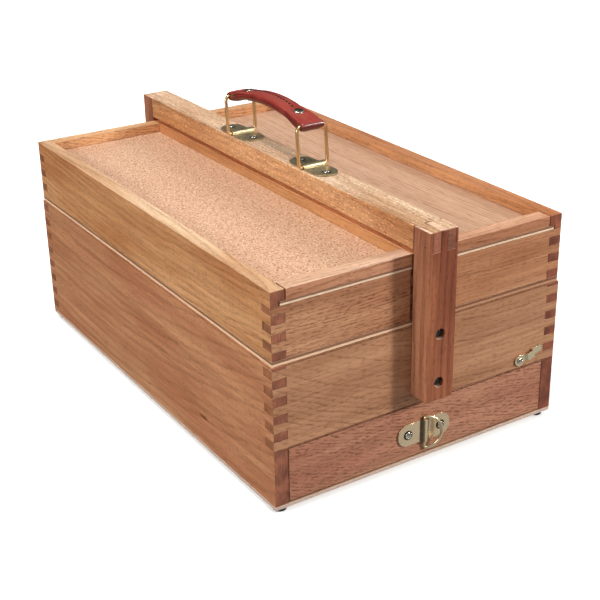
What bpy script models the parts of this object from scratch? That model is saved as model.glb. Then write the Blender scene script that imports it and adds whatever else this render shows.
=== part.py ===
"""Wooden artist's tool box with two sliding top trays, a bottom drawer and a carrying frame.

The box stands on four feet. +Z is up, the drawer opens towards -Y, and the trays slide along X.
The origin is on the floor, under the middle of the box. All lengths are in metres.
"""
import math

import bmesh
import bpy
from mathutils import Matrix, Vector

NAME = "artist_tool_box"

# ---------------------------------------------------------------- driving dimensions
GAP = 0.0003            # clearance between pieces that touch or slide

BOX_W = 0.2815          # outside width of the lower case (X)
BOX_L = 0.4400          # outside length of the lower case (Y)
BOARD_T = 0.0120        # solid boards of the case and the trays
FOOT_H = 0.0044
FOOT_R = 0.0063
FOOT_INSET = 0.0083
BASE_Z = 0.0047         # underside of the plywood base
BASE_T = 0.0030
CASE_Z0 = 0.0080        # bottom edge of the case boards
CASE_Z1 = 0.1280        # top edge of the case boards
FRONT_Z0 = 0.0578       # bottom edge of the front board, above the drawer
SHELF_Z0 = 0.0618       # plywood floor of the middle compartment
SHELF_T = 0.0040
GROOVE_D = 0.0040       # depth of the plywood grooves

CASE_PITCH = 0.0150     # finger joints of the case
CASE_FINGER = 0.0075
CASE_FINGER_0 = 0.0653  # bottom of one side-board finger; the rest follow at the pitch

TRAY_X0 = 0.00155       # inner side of a tray, from the middle of the box
TRAY_X1 = 0.13995       # outer side of a tray
TRAY_Y = 0.2190         # half length of a tray
TRAY_Z0 = 0.1285
TRAY_FLOOR_T = 0.0040
TRAY_WALL_Z0 = TRAY_Z0 + TRAY_FLOOR_T + GAP
TRAY_Z1 = 0.1885
TRAY_FRONT_Z1 = 0.1759  # the lid slides out over this edge
TRAY_PITCH = 0.0148
TRAY_FINGER_0 = 0.1326
TRAY_FINGER = 0.0074
TRAY_TRAVEL = 0.0980

RUNNER_L = 0.0256       # L-shaped runners under each tray
RUNNER_T = 0.0060
RUNNER_FOOT = 0.0050
RUNNER_Z0 = 0.1094
SLOT_Z0 = 0.1100        # grooves for the runners in the front and back boards
SLOT_Z1 = 0.1160
SLOT_D = 0.0053
SLOT_X = 0.12675

LID_Z0 = 0.1762
LID_T = 0.0031
LID_TONGUE = 0.0039
LEDGE_W = 0.0057
LEDGE_H = 0.0079
PULL_STRIP_D = 0.0135
PULL_STRIP_GAP = 0.0012 # slot between the strip and the outer wall

LEG_W = 0.0271          # carrying frame: leg and bar section
LEG_T = 0.0200
LEG_Z0 = 0.0680
BAR_Z0 = 0.1920
BAR_Z1 = 0.2118
TENON_W = 0.0075
TENON_X = 0.0070        # middle of each tenon from the middle of the bar
TENON_Z0 = 0.1950        # underside of the tenons, a shoulder above the bar's own underside
LEG_SCREW_X = -0.0011
LEG_SCREW_Z = (0.0838, 0.1260)
COUNTERBORE_R = 0.0046
COUNTERBORE_D = 0.0048

DRAWER_Z0 = 0.0088
DRAWER_Z1 = 0.0568
DRAWER_SIDE_T = 0.0080
DRAWER_SIDE_Z0 = 0.0080
DRAWER_SIDE_Z1 = 0.0540
DRAWER_BACK_Y = 0.1750
DRAWER_FLOOR_Z0 = 0.0113
DRAWER_FLOOR_T = 0.0030

PULL_X = 0.00105        # drawer pull: two-hole plate with a D-ring
PULL_Z = 0.0310
PULL_PLATE_L = 0.0521
PULL_PLATE_W = 0.0200
PLATE_T = 0.0012
RING_WIRE_R = 0.0013
RING_HALF = 0.0143      # half of the ring's straight side, to the wire's middle
RING_REACH = 0.0147
RING_CORNER = 0.0020
PULL_SCREW = 0.0164     # distance of each plate screw from the ring's axis
RING_TILT = math.radians(22.0)
RING_DROP = 0.0020      # the ring hangs this far below the middle of its plate

LATCH_X = 0.10165       # turn button above the drawer
LATCH_Z = 0.0647
LATCH_R = 0.0050
LATCH_REACH = 0.0245
LATCH_ARM_W = 0.0066
LATCH_T = 0.0011
LATCH_STEP = 0.0024
LATCH_TILT = math.radians(16.0)

HANDLE_Y = -0.0012      # handle: its middle along the bar
BAIL_Y = 0.0604         # distance of each wire bail from the handle's middle
BAIL_WIRE_R = 0.0015
BAIL_HALF = 0.0145
BAIL_H = 0.0350
BAIL_CORNER = 0.0030
BAIL_LEAN = math.radians(4.5)   # at rest the bails lean back by this much
BAIL_AXIS_Z = BAR_Z1 + 0.0019
HANDLE_PLATE_L = 0.0565
HANDLE_PLATE_W = 0.0226
HANDLE_SCREW = 0.0203   # distance of each plate screw from the bail's axis

GRIP_END_R = 0.0040     # leather grip
GRIP_END_HALF = 0.0113
GRIP_MID_HALF = 0.0107
GRIP_RISE = 0.0084
RIVET_Y = 0.0406
RIVET_R = 0.0040

ROUND = 28              # segments of a full circle on visible round shapes
SCREW_STEPS = 16        # segments of a screw

# ---------------------------------------------------------------- scene and materials
for old in list(bpy.data.objects):
    bpy.data.objects.remove(old, do_unlink=True)

parts = bpy.data.collections.new(NAME)
cutters = bpy.data.collections.new("cutters")
bpy.context.scene.collection.children.link(parts)
bpy.context.scene.collection.children.link(cutters)

BEECH_FRAME = ((0.42, 0.17, 0.08), 0.45, 0.0)
BEECH_CASE = ((0.45, 0.20, 0.10), 0.45, 0.0)
BEECH_SIDE = ((0.38, 0.14, 0.06), 0.42, 0.0)
BEECH_TRAY = ((0.55, 0.29, 0.13), 0.42, 0.0)
BEECH_DRAWER = ((0.40, 0.16, 0.09), 0.45, 0.0)
PLYWOOD = ((0.76, 0.48, 0.28), 0.50, 0.0)
INNER_WOOD = ((0.64, 0.42, 0.24), 0.60, 0.0)
RUBBER = ((0.03, 0.03, 0.03), 0.75, 0.0)
BRASS = ((0.72, 0.56, 0.30), 0.28, 1.0)
ANTIQUE_BRASS = ((0.36, 0.32, 0.20), 0.35, 1.0)
DARK_STEEL = ((0.06, 0.05, 0.045), 0.45, 1.0)
STEEL = ((0.62, 0.60, 0.56), 0.25, 1.0)
LEATHER = ((0.26, 0.035, 0.025), 0.35, 0.0)


def paint(obj, look):
    """Give an object a material of its own."""
    colour, roughness, metallic = look
    material = bpy.data.materials.new(obj.name)
    material.use_nodes = True
    shader = material.node_tree.nodes["Principled BSDF"]
    shader.inputs["Base Color"].default_value = (*colour, 1.0)
    shader.inputs["Roughness"].default_value = roughness
    shader.inputs["Metallic"].default_value = metallic
    material.diffuse_color = (*colour, 1.0)
    obj.data.materials.clear()
    obj.data.materials.append(material)


def keep(obj, look, smooth=False):
    """Put a finished object in the part's collection and paint it."""
    for collection in list(obj.users_collection):
        collection.objects.unlink(obj)
    parts.objects.link(obj)
    paint(obj, look)
    if smooth:
        obj.data.shade_smooth()
        obj.data.set_sharp_from_angle(angle=math.radians(35.0))
    return obj


def as_cutter(obj):
    """Put an object in the cutters' collection, hidden from the build."""
    for collection in list(obj.users_collection):
        collection.objects.unlink(obj)
    cutters.objects.link(obj)
    obj.hide_render = True
    obj.display_type = "WIRE"
    return obj


# ---------------------------------------------------------------- shapes
def mesh_object(name, bm, location=(0.0, 0.0, 0.0)):
    """Turn a bmesh into an object."""
    mesh = bpy.data.meshes.new(name)
    bm.to_mesh(mesh)
    bm.free()
    obj = bpy.data.objects.new(name, mesh)
    obj.location = location
    bpy.context.scene.collection.objects.link(obj)
    return obj


def box(name, x, y, z):
    """A board between two corners, with its origin at its middle."""
    bm = bmesh.new()
    size = Matrix.Diagonal((x[1] - x[0], y[1] - y[0], z[1] - z[0], 1.0))
    bmesh.ops.create_cube(bm, size=1.0, matrix=size)
    middle = ((x[0] + x[1]) / 2.0, (y[0] + y[1]) / 2.0, (z[0] + z[1]) / 2.0)
    return mesh_object(name, bm, middle)


def boxes(name, spans):
    """Several separate blocks in one cutter."""
    bm = bmesh.new()
    for x, y, z in spans:
        size = Matrix.Diagonal((x[1] - x[0], y[1] - y[0], z[1] - z[0], 1.0))
        middle = ((x[0] + x[1]) / 2.0, (y[0] + y[1]) / 2.0, (z[0] + z[1]) / 2.0)
        bmesh.ops.create_cube(bm, size=1.0, matrix=Matrix.Translation(middle) @ size)
    return mesh_object(name, bm)


def rods(name, lines, segments=16):
    """Several separate round cutters, each (start, direction, length, radius)."""
    bm = bmesh.new()
    for start, direction, length, radius in lines:
        axis = Vector(direction).normalized()
        turn = Vector((0.0, 0.0, 1.0)).rotation_difference(axis).to_matrix().to_4x4()
        place = Matrix.Translation(Vector(start) + axis * (length / 2.0)) @ turn
        bmesh.ops.create_cone(bm, cap_ends=True, segments=segments, radius1=radius,
                              radius2=radius, depth=length, matrix=place)
    return mesh_object(name, bm)


def bake(obj):
    """Replace a curve, or a mesh with modifiers, by its evaluated mesh."""
    bpy.context.view_layer.update()
    evaluated = obj.evaluated_get(bpy.context.evaluated_depsgraph_get())
    mesh = bpy.data.meshes.new_from_object(evaluated)
    bm = bmesh.new()
    bm.from_mesh(mesh)
    bmesh.ops.remove_doubles(bm, verts=bm.verts, dist=0.000005)
    bmesh.ops.recalc_face_normals(bm, faces=bm.faces)
    bm.to_mesh(mesh)
    bm.free()
    solid = bpy.data.objects.new(obj.name, mesh)
    solid.matrix_world = obj.matrix_world
    bpy.context.scene.collection.objects.link(solid)
    name = obj.name
    bpy.data.objects.remove(obj, do_unlink=True)
    solid.name = name
    return solid


def plate(name, outline, depth, turn, location):
    """A flat closed outline given a thickness, then turned and placed."""
    curve = bpy.data.curves.new(name, "CURVE")
    curve.dimensions = "2D"
    curve.fill_mode = "BOTH"
    curve.extrude = depth / 2.0
    spline = curve.splines.new("POLY")
    spline.points.add(len(outline) - 1)
    for point, (u, v) in zip(spline.points, outline):
        point.co = (u, v, 0.0, 1.0)
    spline.use_cyclic_u = True
    obj = bpy.data.objects.new(name, curve)
    bpy.context.scene.collection.objects.link(obj)
    solid = bake(obj)
    solid.data.transform(turn.to_4x4())
    solid.location = location
    return solid


def wire(name, path, radius, location):
    """A closed ring of round wire along a path."""
    curve = bpy.data.curves.new(name, "CURVE")
    curve.dimensions = "3D"
    curve.bevel_depth = radius
    curve.bevel_resolution = 4
    curve.use_fill_caps = True
    spline = curve.splines.new("POLY")
    spline.points.add(len(path) - 1)
    for point, (x, y, z) in zip(spline.points, path):
        point.co = (x, y, z, 1.0)
    spline.use_cyclic_u = True
    obj = bpy.data.objects.new(name, curve)
    obj.location = location
    bpy.context.scene.collection.objects.link(obj)
    return bake(obj)


def turned(name, profile, direction, location, steps=ROUND):
    """A turned piece. The profile runs from its top to its bottom down the outer side."""
    bm = bmesh.new()
    points = [bm.verts.new((radius, 0.0, height)) for radius, height in profile]
    for first, second in zip(points, points[1:]):
        bm.edges.new((first, second))
    obj = mesh_object(name, bm)
    screw = obj.modifiers.new("turn", "SCREW")
    screw.axis = "Z"
    screw.steps = steps
    screw.render_steps = steps
    screw.use_merge_vertices = True
    screw.merge_threshold = 0.00001
    screw.use_smooth_shade = True
    solid = bake(obj)
    turn = Vector((0.0, 0.0, 1.0)).rotation_difference(Vector(direction).normalized())
    solid.data.transform(turn.to_matrix().to_4x4())
    solid.location = location
    return solid


def boolean(obj, cutter, operation="DIFFERENCE"):
    """Cut, join or intersect an object with a cutter, as a live modifier."""
    modifier = obj.modifiers.new(operation.lower(), "BOOLEAN")
    modifier.operation = operation
    modifier.solver = "EXACT"
    modifier.object = as_cutter(cutter)
    return obj


def round_edges(obj, width, segments=2):
    """Soften the edges of a plain block before it is cut."""
    bevel = obj.modifiers.new("edges", "BEVEL")
    bevel.width = width
    bevel.segments = segments
    bevel.limit_method = "ANGLE"
    bevel.angle_limit = math.radians(40.0)
    return obj


def arc(centre, radius, start, end, count):
    """Points on an arc, in degrees, both ends included."""
    points = []
    for index in range(count + 1):
        angle = math.radians(start + (end - start) * index / count)
        points.append((centre[0] + radius * math.cos(angle), centre[1] + radius * math.sin(angle)))
    return points


def motion(name, location):
    """An empty on a joint's axis, which carries the pieces that move with it."""
    empty = bpy.data.objects.new(name, None)
    empty.empty_display_size = 0.02
    empty.location = location
    parts.objects.link(empty)
    return empty


def carry(parent, children):
    """Parent pieces to an empty, or to another piece, where they stand."""
    bpy.context.view_layer.update()
    for child in children:
        child.parent = parent
        child.matrix_parent_inverse = parent.matrix_world.inverted()


# ---------------------------------------------------------------- finger joints
def finger_spans(first, pitch, height, low, high):
    """Heights of the fingers that belong to the side board, between two edges."""
    spans = []
    start = first
    while start > low:
        start -= pitch
    while start < high:
        bottom = max(start, low)
        top = min(start + height, high)
        if top - bottom > 0.0010:
            spans.append((bottom, top))
        start += pitch
    return spans


def between(spans, low, high):
    """Heights left between the fingers: they belong to the front or back board."""
    left = []
    edge = low
    for bottom, top in spans:
        if bottom - edge > 0.0010:
            left.append((edge, bottom))
        edge = top
    if high - edge > 0.0010:
        left.append((edge, high))
    return left


def notches(spans, x, y):
    """Cutting blocks for a set of finger heights, with the joint's clearance."""
    return [(x, y, (bottom - GAP / 2.0, top + GAP / 2.0)) for bottom, top in spans]


OVER = 0.0010           # how far a cutter runs past a face that it opens

half_w = BOX_W / 2.0
half_l = BOX_L / 2.0
inner_x = half_w - BOARD_T
inner_y = half_l - BOARD_T

case_front_sides = finger_spans(CASE_FINGER_0, CASE_PITCH, CASE_FINGER, FRONT_Z0, CASE_Z1)
case_front_ends = between(case_front_sides, FRONT_Z0, CASE_Z1)
case_back_sides = finger_spans(CASE_FINGER_0, CASE_PITCH, CASE_FINGER, CASE_Z0, CASE_Z1)
case_back_ends = between(case_back_sides, CASE_Z0, CASE_Z1)

# ---------------------------------------------------------------- lower case
shelf_groove = (SHELF_Z0 - GAP, SHELF_Z0 + SHELF_T + GAP)

for side, name in ((-1.0, "side_board_left"), (1.0, "side_board_right")):
    outer = side * half_w
    inner = side * inner_x
    x = (min(outer, inner), max(outer, inner))
    board = box(name, x, (-half_l, half_l), (CASE_Z0, CASE_Z1))
    wide = (x[0] - OVER, x[1] + OVER)
    cuts = notches(case_front_ends, wide, (-half_l - OVER, -inner_y + GAP))
    cuts += notches(case_back_ends, wide, (inner_y - GAP, half_l + OVER))
    boolean(board, boxes(name + "_cut", cuts))
    floor_cut = sorted((inner - side * OVER, inner + side * GROOVE_D))
    groove = [(floor_cut, (-inner_y - GROOVE_D, inner_y + GROOVE_D), shelf_groove)]
    boolean(board, boxes(name + "_groove", groove))
    keep(board, BEECH_SIDE)

runner_slot = (SLOT_Z0, SLOT_Z1)
for end, name in ((-1.0, "front_board"), (1.0, "back_board")):
    outer = end * half_l
    inner = end * inner_y
    y = (min(outer, inner), max(outer, inner))
    low = FRONT_Z0 if end < 0.0 else CASE_Z0
    sides = case_front_sides if end < 0.0 else case_back_sides
    board = box(name, (-half_w, half_w), y, (low, CASE_Z1))
    deep = (y[0] - OVER, y[1] + OVER)
    cuts = notches(sides, (-half_w - OVER, -inner_x + GAP), deep)
    cuts += notches(sides, (inner_x - GAP, half_w + OVER), deep)
    boolean(board, boxes(name + "_cut", cuts))
    floor_cut = sorted((inner - end * OVER, inner + end * GROOVE_D))
    grooves = [((-inner_x - GROOVE_D, inner_x + GROOVE_D), floor_cut, shelf_groove)]
    runner_cut = sorted((inner - end * OVER, inner + end * SLOT_D))
    grooves.append(((-SLOT_X, SLOT_X), runner_cut, runner_slot))
    boolean(board, boxes(name + "_grooves", grooves))
    holes = []
    for z in LEG_SCREW_Z:
        holes.append(((LEG_SCREW_X, outer + end * OVER, z), (0.0, -end, 0.0), 0.0088 + OVER, 0.0021))
    if end < 0.0:
        holes.append(((LATCH_X, outer - OVER, LATCH_Z), (0.0, 1.0, 0.0), 0.0088 + OVER, 0.0017))
    boolean(board, rods(name + "_holes", holes))
    keep(board, BEECH_CASE)

base = box("base_panel", (-half_w, half_w), (-half_l, half_l), (BASE_Z, BASE_Z + BASE_T))
keep(base, PLYWOOD)

reach_x = inner_x + GROOVE_D - GAP
reach_y = inner_y + GROOVE_D - GAP
shelf = box("compartment_floor", (-reach_x, reach_x), (-reach_y, reach_y), (SHELF_Z0, SHELF_Z0 + SHELF_T))
keep(shelf, INNER_WOOD)

foot_profile = [(0.0, FOOT_H), (FOOT_R - 0.0006, FOOT_H), (FOOT_R, FOOT_H - 0.0006)]
foot_profile += [(FOOT_R, 0.0022)]
foot_profile += [(FOOT_R - 0.0022 + 0.0022 * math.cos(math.radians(a)),
                  0.0022 - 0.0022 * math.sin(math.radians(a))) for a in (30.0, 60.0, 90.0)]
foot_profile += [(0.0, 0.0)]
for side, word in ((-1.0, "left"), (1.0, "right")):
    for end, place in ((-1.0, "front"), (1.0, "back")):
        spot = (side * (half_w - FOOT_INSET), end * (half_l - FOOT_INSET), 0.0)
        foot = turned("foot_" + place + "_" + word, foot_profile, (0.0, 0.0, 1.0), spot)
        keep(foot, RUBBER, smooth=True)

# ---------------------------------------------------------------- carrying frame
leg_back = half_l + GAP
leg_front = leg_back + LEG_T
half_leg = LEG_W / 2.0

bar = box("carry_bar", (-half_leg, half_leg), (-leg_front, leg_front), (BAR_Z0, BAR_Z1))
round_edges(bar, 0.0009)
tall = (BAR_Z0 - OVER, BAR_Z1 + OVER)
tenon_in = TENON_X - TENON_W / 2.0
tenon_out = TENON_X + TENON_W / 2.0
cuts = []
for end in (-1.0, 1.0):
    y = sorted((end * (leg_back - GAP), end * (leg_front + OVER)))
    cuts.append(((-half_leg - OVER, -tenon_out), y, tall))
    cuts.append(((-tenon_in, tenon_in), y, tall))
    cuts.append(((tenon_out, half_leg + OVER), y, tall))
boolean(bar, boxes("carry_bar_cut", cuts))
shoulders = []
for end in (-1.0, 1.0):
    y = sorted((end * (leg_back - GAP), end * (leg_front + OVER)))
    shoulders.append(((-half_leg - OVER, half_leg + OVER), y, (BAR_Z0 - OVER, TENON_Z0)))
boolean(bar, boxes("carry_bar_shoulders", shoulders))
holes = []
for end in (-1.0, 1.0):
    for way in (-1.0, 1.0):
        spot = (0.0, HANDLE_Y + end * BAIL_Y + way * HANDLE_SCREW, BAR_Z1 + OVER)
        holes.append((spot, (0.0, 0.0, -1.0), 0.0120 + OVER, 0.0018))
boolean(bar, rods("carry_bar_holes", holes))
keep(bar, BEECH_FRAME)

for end, name in ((-1.0, "front_leg"), (1.0, "back_leg")):
    y = sorted((end * leg_back, end * leg_front))
    leg = box(name, (-half_leg, half_leg), y, (LEG_Z0, BAR_Z1))
    round_edges(leg, 0.0009)
    deep = (y[0] - OVER, y[1] + OVER)
    slot = (TENON_Z0 - GAP, BAR_Z1 + OVER)
    cuts = []
    for way in (-1.0, 1.0):
        x = sorted((way * (tenon_in - GAP), way * (tenon_out + GAP)))
        cuts.append((x, deep, slot))
    boolean(leg, boxes(name + "_cut", cuts))
    holes = []
    for z in LEG_SCREW_Z:
        mouth = (LEG_SCREW_X, end * (leg_front + OVER), z)
        holes.append((mouth, (0.0, -end, 0.0), COUNTERBORE_D + OVER, COUNTERBORE_R))
    boolean(leg, rods(name + "_counterbores", holes, ROUND))
    bores = []
    for z in LEG_SCREW_Z:
        inside = (LEG_SCREW_X, end * (leg_front - COUNTERBORE_D + OVER), z)
        bores.append((inside, (0.0, -end, 0.0), LEG_T, 0.0021))
    boolean(leg, rods(name + "_bores", bores))
    keep(leg, BEECH_FRAME)


def screw_profile(head_r, head_h, shank_r, length, dome=True):
    """Half section of a screw, from the top of its head to its tip. Its seat is at height 0."""
    points = []
    if dome:
        for index in range(5):
            angle = math.radians(90.0 - 22.5 * index)
            points.append((head_r * math.cos(angle), 0.0003 + (head_h - 0.0003) * math.sin(angle)))
        points[0] = (0.0, head_h)
        points.append((head_r, 0.0))
    else:
        points = [(0.0, head_h), (head_r - 0.0005, head_h), (head_r, head_h - 0.0005), (head_r, 0.0)]
    points.append((shank_r, 0.0))
    points.append((shank_r, -length + shank_r))
    points.append((0.0, -length))
    return points


def add_screw(name, head_r, head_h, shank_r, length, direction, seat, look, slot_turn=0.0):
    """A round-head wood screw with a slot across its head."""
    profile = screw_profile(head_r, head_h, shank_r, length)
    obj = turned(name, profile, direction, seat, steps=SCREW_STEPS)
    axis = Vector(direction).normalized()
    slot = box(name + "_slot", (-head_r - OVER, head_r + OVER), (-0.0004, 0.0004), (-0.0005, 0.0005))
    turn = Vector((0.0, 0.0, 1.0)).rotation_difference(axis)
    slot.rotation_mode = "QUATERNION"
    slot.rotation_quaternion = turn @ Matrix.Rotation(slot_turn, 3, "Z").to_quaternion()
    slot.location = Vector(seat) + axis * (head_h - 0.0001)
    boolean(obj, slot)
    return keep(obj, look, smooth=True)


for end, place in ((-1.0, "front"), (1.0, "back")):
    for z, word in zip(LEG_SCREW_Z, ("lower", "upper")):
        seat = (LEG_SCREW_X, end * (leg_front - COUNTERBORE_D + GAP), z)
        add_screw("leg_screw_" + place + "_" + word, 0.0041, 0.0026, 0.0018, 0.0232,
                  (0.0, end, 0.0), seat, DARK_STEEL, slot_turn=0.6 * end + z * 9.0)


# ---------------------------------------------------------------- handle plates
def bent_profile(length, thickness, axis_h, r_in, r_out):
    """Side view of a strip with a half-round bulge over an open channel. Its back is at height 0."""
    half = length / 2.0
    lean = math.degrees(math.asin((axis_h - thickness) / r_out)) if axis_h > thickness else 0.0
    points = [(-half, 0.0), (-half, thickness)]
    points += arc((0.0, axis_h), r_out, 180.0 + lean, -lean, 14)
    points += [(half, thickness), (half, 0.0)]
    points += [(r_in, 0.0)]
    points += arc((0.0, axis_h), r_in, 0.0, 180.0, 12)
    points += [(-r_in, 0.0)]
    return points


def stadium(length, width, corner):
    """Outline of a strip with well-rounded ends."""
    half = length / 2.0
    high = width / 2.0
    points = []
    points += arc((half - corner, high - corner), corner, 0.0, 90.0, 8)
    points += arc((-half + corner, high - corner), corner, 90.0, 180.0, 8)
    points += arc((-half + corner, -high + corner), corner, 180.0, 270.0, 8)
    points += arc((half - corner, -high + corner), corner, 270.0, 360.0, 8)
    return points


# Turns from the plate's own axes (u along it, v across it, w out of its face) to the world.
ON_BAR = Matrix(((0.0, -1.0, 0.0), (1.0, 0.0, 0.0), (0.0, 0.0, 1.0)))
ON_FRONT = Matrix(((1.0, 0.0, 0.0), (0.0, 0.0, -1.0), (0.0, 1.0, 0.0)))
PROFILE_TURN = Matrix(((1.0, 0.0, 0.0), (0.0, 0.0, -1.0), (0.0, 1.0, 0.0)))


def hinge_plate(name, length, width, corner, axis_h, r_in, r_out, screws, frame, spot, look):
    """A pressed two-hole plate whose bulge holds a ring or a bail. w = 0 is its back face."""
    strip = plate(name, bent_profile(length, PLATE_T, axis_h, r_in, r_out), width + 0.004,
                  frame @ PROFILE_TURN, spot)
    outline = plate(name + "_outline", stadium(length, width, corner), 0.040, frame, spot)
    boolean(strip, outline, "INTERSECT")
    holes = []
    out = frame @ Vector((0.0, 0.0, 1.0))
    for u in screws:
        start = Vector(spot) + frame @ Vector((u, 0.0, -OVER))
        holes.append((start, out, PLATE_T + 2.0 * OVER, 0.0019))
    boolean(strip, rods(name + "_holes", holes))
    return keep(strip, look)


for end, place in ((-1.0, "front"), (1.0, "back")):
    spot = (0.0, HANDLE_Y + end * BAIL_Y, BAR_Z1 + GAP)
    hinge_plate("handle_plate_" + place, HANDLE_PLATE_L, HANDLE_PLATE_W, 0.0108,
                BAIL_AXIS_Z - BAR_Z1 - GAP, BAIL_WIRE_R + GAP, 0.0029,
                (-HANDLE_SCREW, HANDLE_SCREW), ON_BAR, spot, ANTIQUE_BRASS)
    for way, word in ((-1.0, "a"), (1.0, "b")):
        seat = (0.0, HANDLE_Y + end * BAIL_Y + way * HANDLE_SCREW, BAR_Z1 + PLATE_T + 2.0 * GAP)
        add_screw("handle_screw_" + place + "_" + word, 0.0033, 0.0013, 0.0015, 0.0120,
                  (0.0, 0.0, 1.0), seat, STEEL, slot_turn=0.5 + way * 0.7 + end)

# ---------------------------------------------------------------- trays and lids
tray_front_sides = finger_spans(TRAY_FINGER_0, TRAY_PITCH, TRAY_FINGER, TRAY_WALL_Z0, TRAY_FRONT_Z1)
tray_front_sides = [span for span in tray_front_sides if span[1] < TRAY_FRONT_Z1 - 0.001]
tray_front_ends = between(tray_front_sides, TRAY_WALL_Z0, TRAY_FRONT_Z1)
tray_back_ends = tray_front_ends[:-1] + [(tray_front_ends[-1][0], tray_front_ends[-1][0] + TRAY_FINGER)]
tray_back_sides = tray_front_sides + [(tray_back_ends[-1][1], TRAY_Z1)]
lid_groove = (LID_Z0 - GAP, LID_Z0 + LID_T + GAP)
tray_inner_y = TRAY_Y - BOARD_T
wall_out = TRAY_X1 - BOARD_T
wall_in = TRAY_X0 + BOARD_T
lid_edge = wall_in + GAP
lid_out = wall_out + LID_TONGUE
lid_back = tray_inner_y + 0.0033


def across(side, near, far):
    """An X range on one side of the middle, from two distances."""
    return tuple(sorted((side * near, side * far)))


for side, word in ((-1.0, "left"), (1.0, "right")):
    wall_z = (TRAY_WALL_Z0, TRAY_Z1)
    groove_x = across(side, wall_out - OVER, lid_out + 0.0015)

    outer_wall = box("tray_" + word + "_outer_wall", across(side, wall_out, TRAY_X1),
                     (-TRAY_Y, TRAY_Y), wall_z)
    wide = across(side, wall_out - OVER, TRAY_X1 + OVER)
    cuts = notches(tray_front_ends, wide, (-TRAY_Y - OVER, -tray_inner_y + GAP))
    cuts += notches(tray_back_ends, wide, (tray_inner_y - GAP, TRAY_Y + OVER))
    boolean(outer_wall, boxes(outer_wall.name + "_cut", cuts))
    boolean(outer_wall, boxes(outer_wall.name + "_groove",
                              [(groove_x, (-TRAY_Y - OVER, lid_back + GAP), lid_groove)]))
    keep(outer_wall, BEECH_TRAY)

    inner_wall = box("tray_" + word + "_inner_wall", across(side, TRAY_X0, wall_in),
                     (-TRAY_Y, TRAY_Y), wall_z)
    wide = across(side, TRAY_X0 - OVER, wall_in + OVER)
    cuts = notches(tray_front_ends, wide, (-TRAY_Y - OVER, -tray_inner_y + GAP))
    cuts += notches(tray_back_ends, wide, (tray_inner_y - GAP, TRAY_Y + OVER))
    boolean(inner_wall, boxes(inner_wall.name + "_cut", cuts))
    keep(inner_wall, BEECH_TRAY)

    ends_out = across(side, wall_out - GAP, TRAY_X1 + OVER)
    ends_in = across(side, TRAY_X0 - OVER, wall_in + GAP)
    front_wall = box("tray_" + word + "_front_wall", across(side, TRAY_X0, TRAY_X1),
                     (-TRAY_Y, -tray_inner_y), (TRAY_WALL_Z0, TRAY_FRONT_Z1))
    deep = (-TRAY_Y - OVER, -tray_inner_y + OVER)
    cuts = notches(tray_front_sides, ends_out, deep) + notches(tray_front_sides, ends_in, deep)
    boolean(front_wall, boxes(front_wall.name + "_cut", cuts))
    keep(front_wall, BEECH_TRAY)

    back_wall = box("tray_" + word + "_back_wall", across(side, TRAY_X0, TRAY_X1),
                    (tray_inner_y, TRAY_Y), wall_z)
    deep = (tray_inner_y - OVER, TRAY_Y + OVER)
    top_open = [(low, high + OVER if high > TRAY_Z1 - 0.0001 else high) for low, high in tray_back_sides]
    cuts = notches(top_open, ends_out, deep) + notches(top_open, ends_in, deep)
    boolean(back_wall, boxes(back_wall.name + "_cut", cuts))
    groove = [(across(side, wall_in, lid_out + 0.0015), (tray_inner_y - OVER, lid_back + GAP), lid_groove)]
    boolean(back_wall, boxes(back_wall.name + "_groove", groove))
    keep(back_wall, BEECH_TRAY)

    floor = box("tray_" + word + "_floor", across(side, TRAY_X0, TRAY_X1), (-TRAY_Y, TRAY_Y),
                (TRAY_Z0, TRAY_Z0 + TRAY_FLOOR_T))
    keep(floor, PLYWOOD)

    ledge = box("tray_" + word + "_lid_ledge", across(side, lid_edge, lid_edge + LEDGE_W),
                (-tray_inner_y + GAP, tray_inner_y - GAP), (LID_Z0 - GAP - LEDGE_H, LID_Z0 - GAP))
    keep(ledge, BEECH_TRAY)

    runners = []
    for end, place in ((-1.0, "front"), (1.0, "back")):
        face = inner_y - GAP
        top = TRAY_Z0 - GAP
        low = SLOT_Z0 + GAP
        high = SLOT_Z1 - GAP
        outline = [(face, top), (face - RUNNER_T, top), (face - RUNNER_T, RUNNER_Z0), (face, RUNNER_Z0)]
        outline += [(face, low), (face + RUNNER_FOOT, low), (face + RUNNER_FOOT, high), (face, high)]
        turn = Matrix(((0.0, 0.0, end), (end, 0.0, 0.0), (0.0, 1.0, 0.0)))
        middle = side * (0.0022 + RUNNER_L / 2.0)
        runner = plate("tray_" + word + "_runner_" + place, outline, RUNNER_L, turn, (middle, 0.0, 0.0))
        runners.append(keep(runner, INNER_WOOD))

    lid = box("lid_" + word, across(side, lid_edge, lid_out), (-TRAY_Y, lid_back),
              (LID_Z0, LID_Z0 + LID_T))
    keep(lid, PLYWOOD)
    strip = box("lid_" + word + "_strip", across(side, lid_edge, wall_out - PULL_STRIP_GAP),
                (-TRAY_Y, -TRAY_Y + PULL_STRIP_D), (LID_Z0 + LID_T + GAP, TRAY_Z1))
    keep(strip, BEECH_TRAY)

    tray_motion = motion("tray_" + word + "_slide", (side * (TRAY_X0 + TRAY_X1) / 2.0, 0.0, TRAY_Z0))
    lid_motion = motion("lid_" + word + "_slide", (side * (lid_edge + lid_out) / 2.0, 0.0, LID_Z0))
    carry(tray_motion, [outer_wall, inner_wall, front_wall, back_wall, floor, ledge, lid_motion] + runners)
    carry(lid_motion, [lid, strip])

# ---------------------------------------------------------------- drawer
drawer_x = inner_x - GAP
side_out = inner_x - 2.0 * GAP
side_in = side_out - DRAWER_SIDE_T
rebate = 0.0060
front_in = -inner_y
floor_groove = (DRAWER_FLOOR_Z0 - GAP, DRAWER_FLOOR_Z0 + DRAWER_FLOOR_T + GAP)

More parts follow.
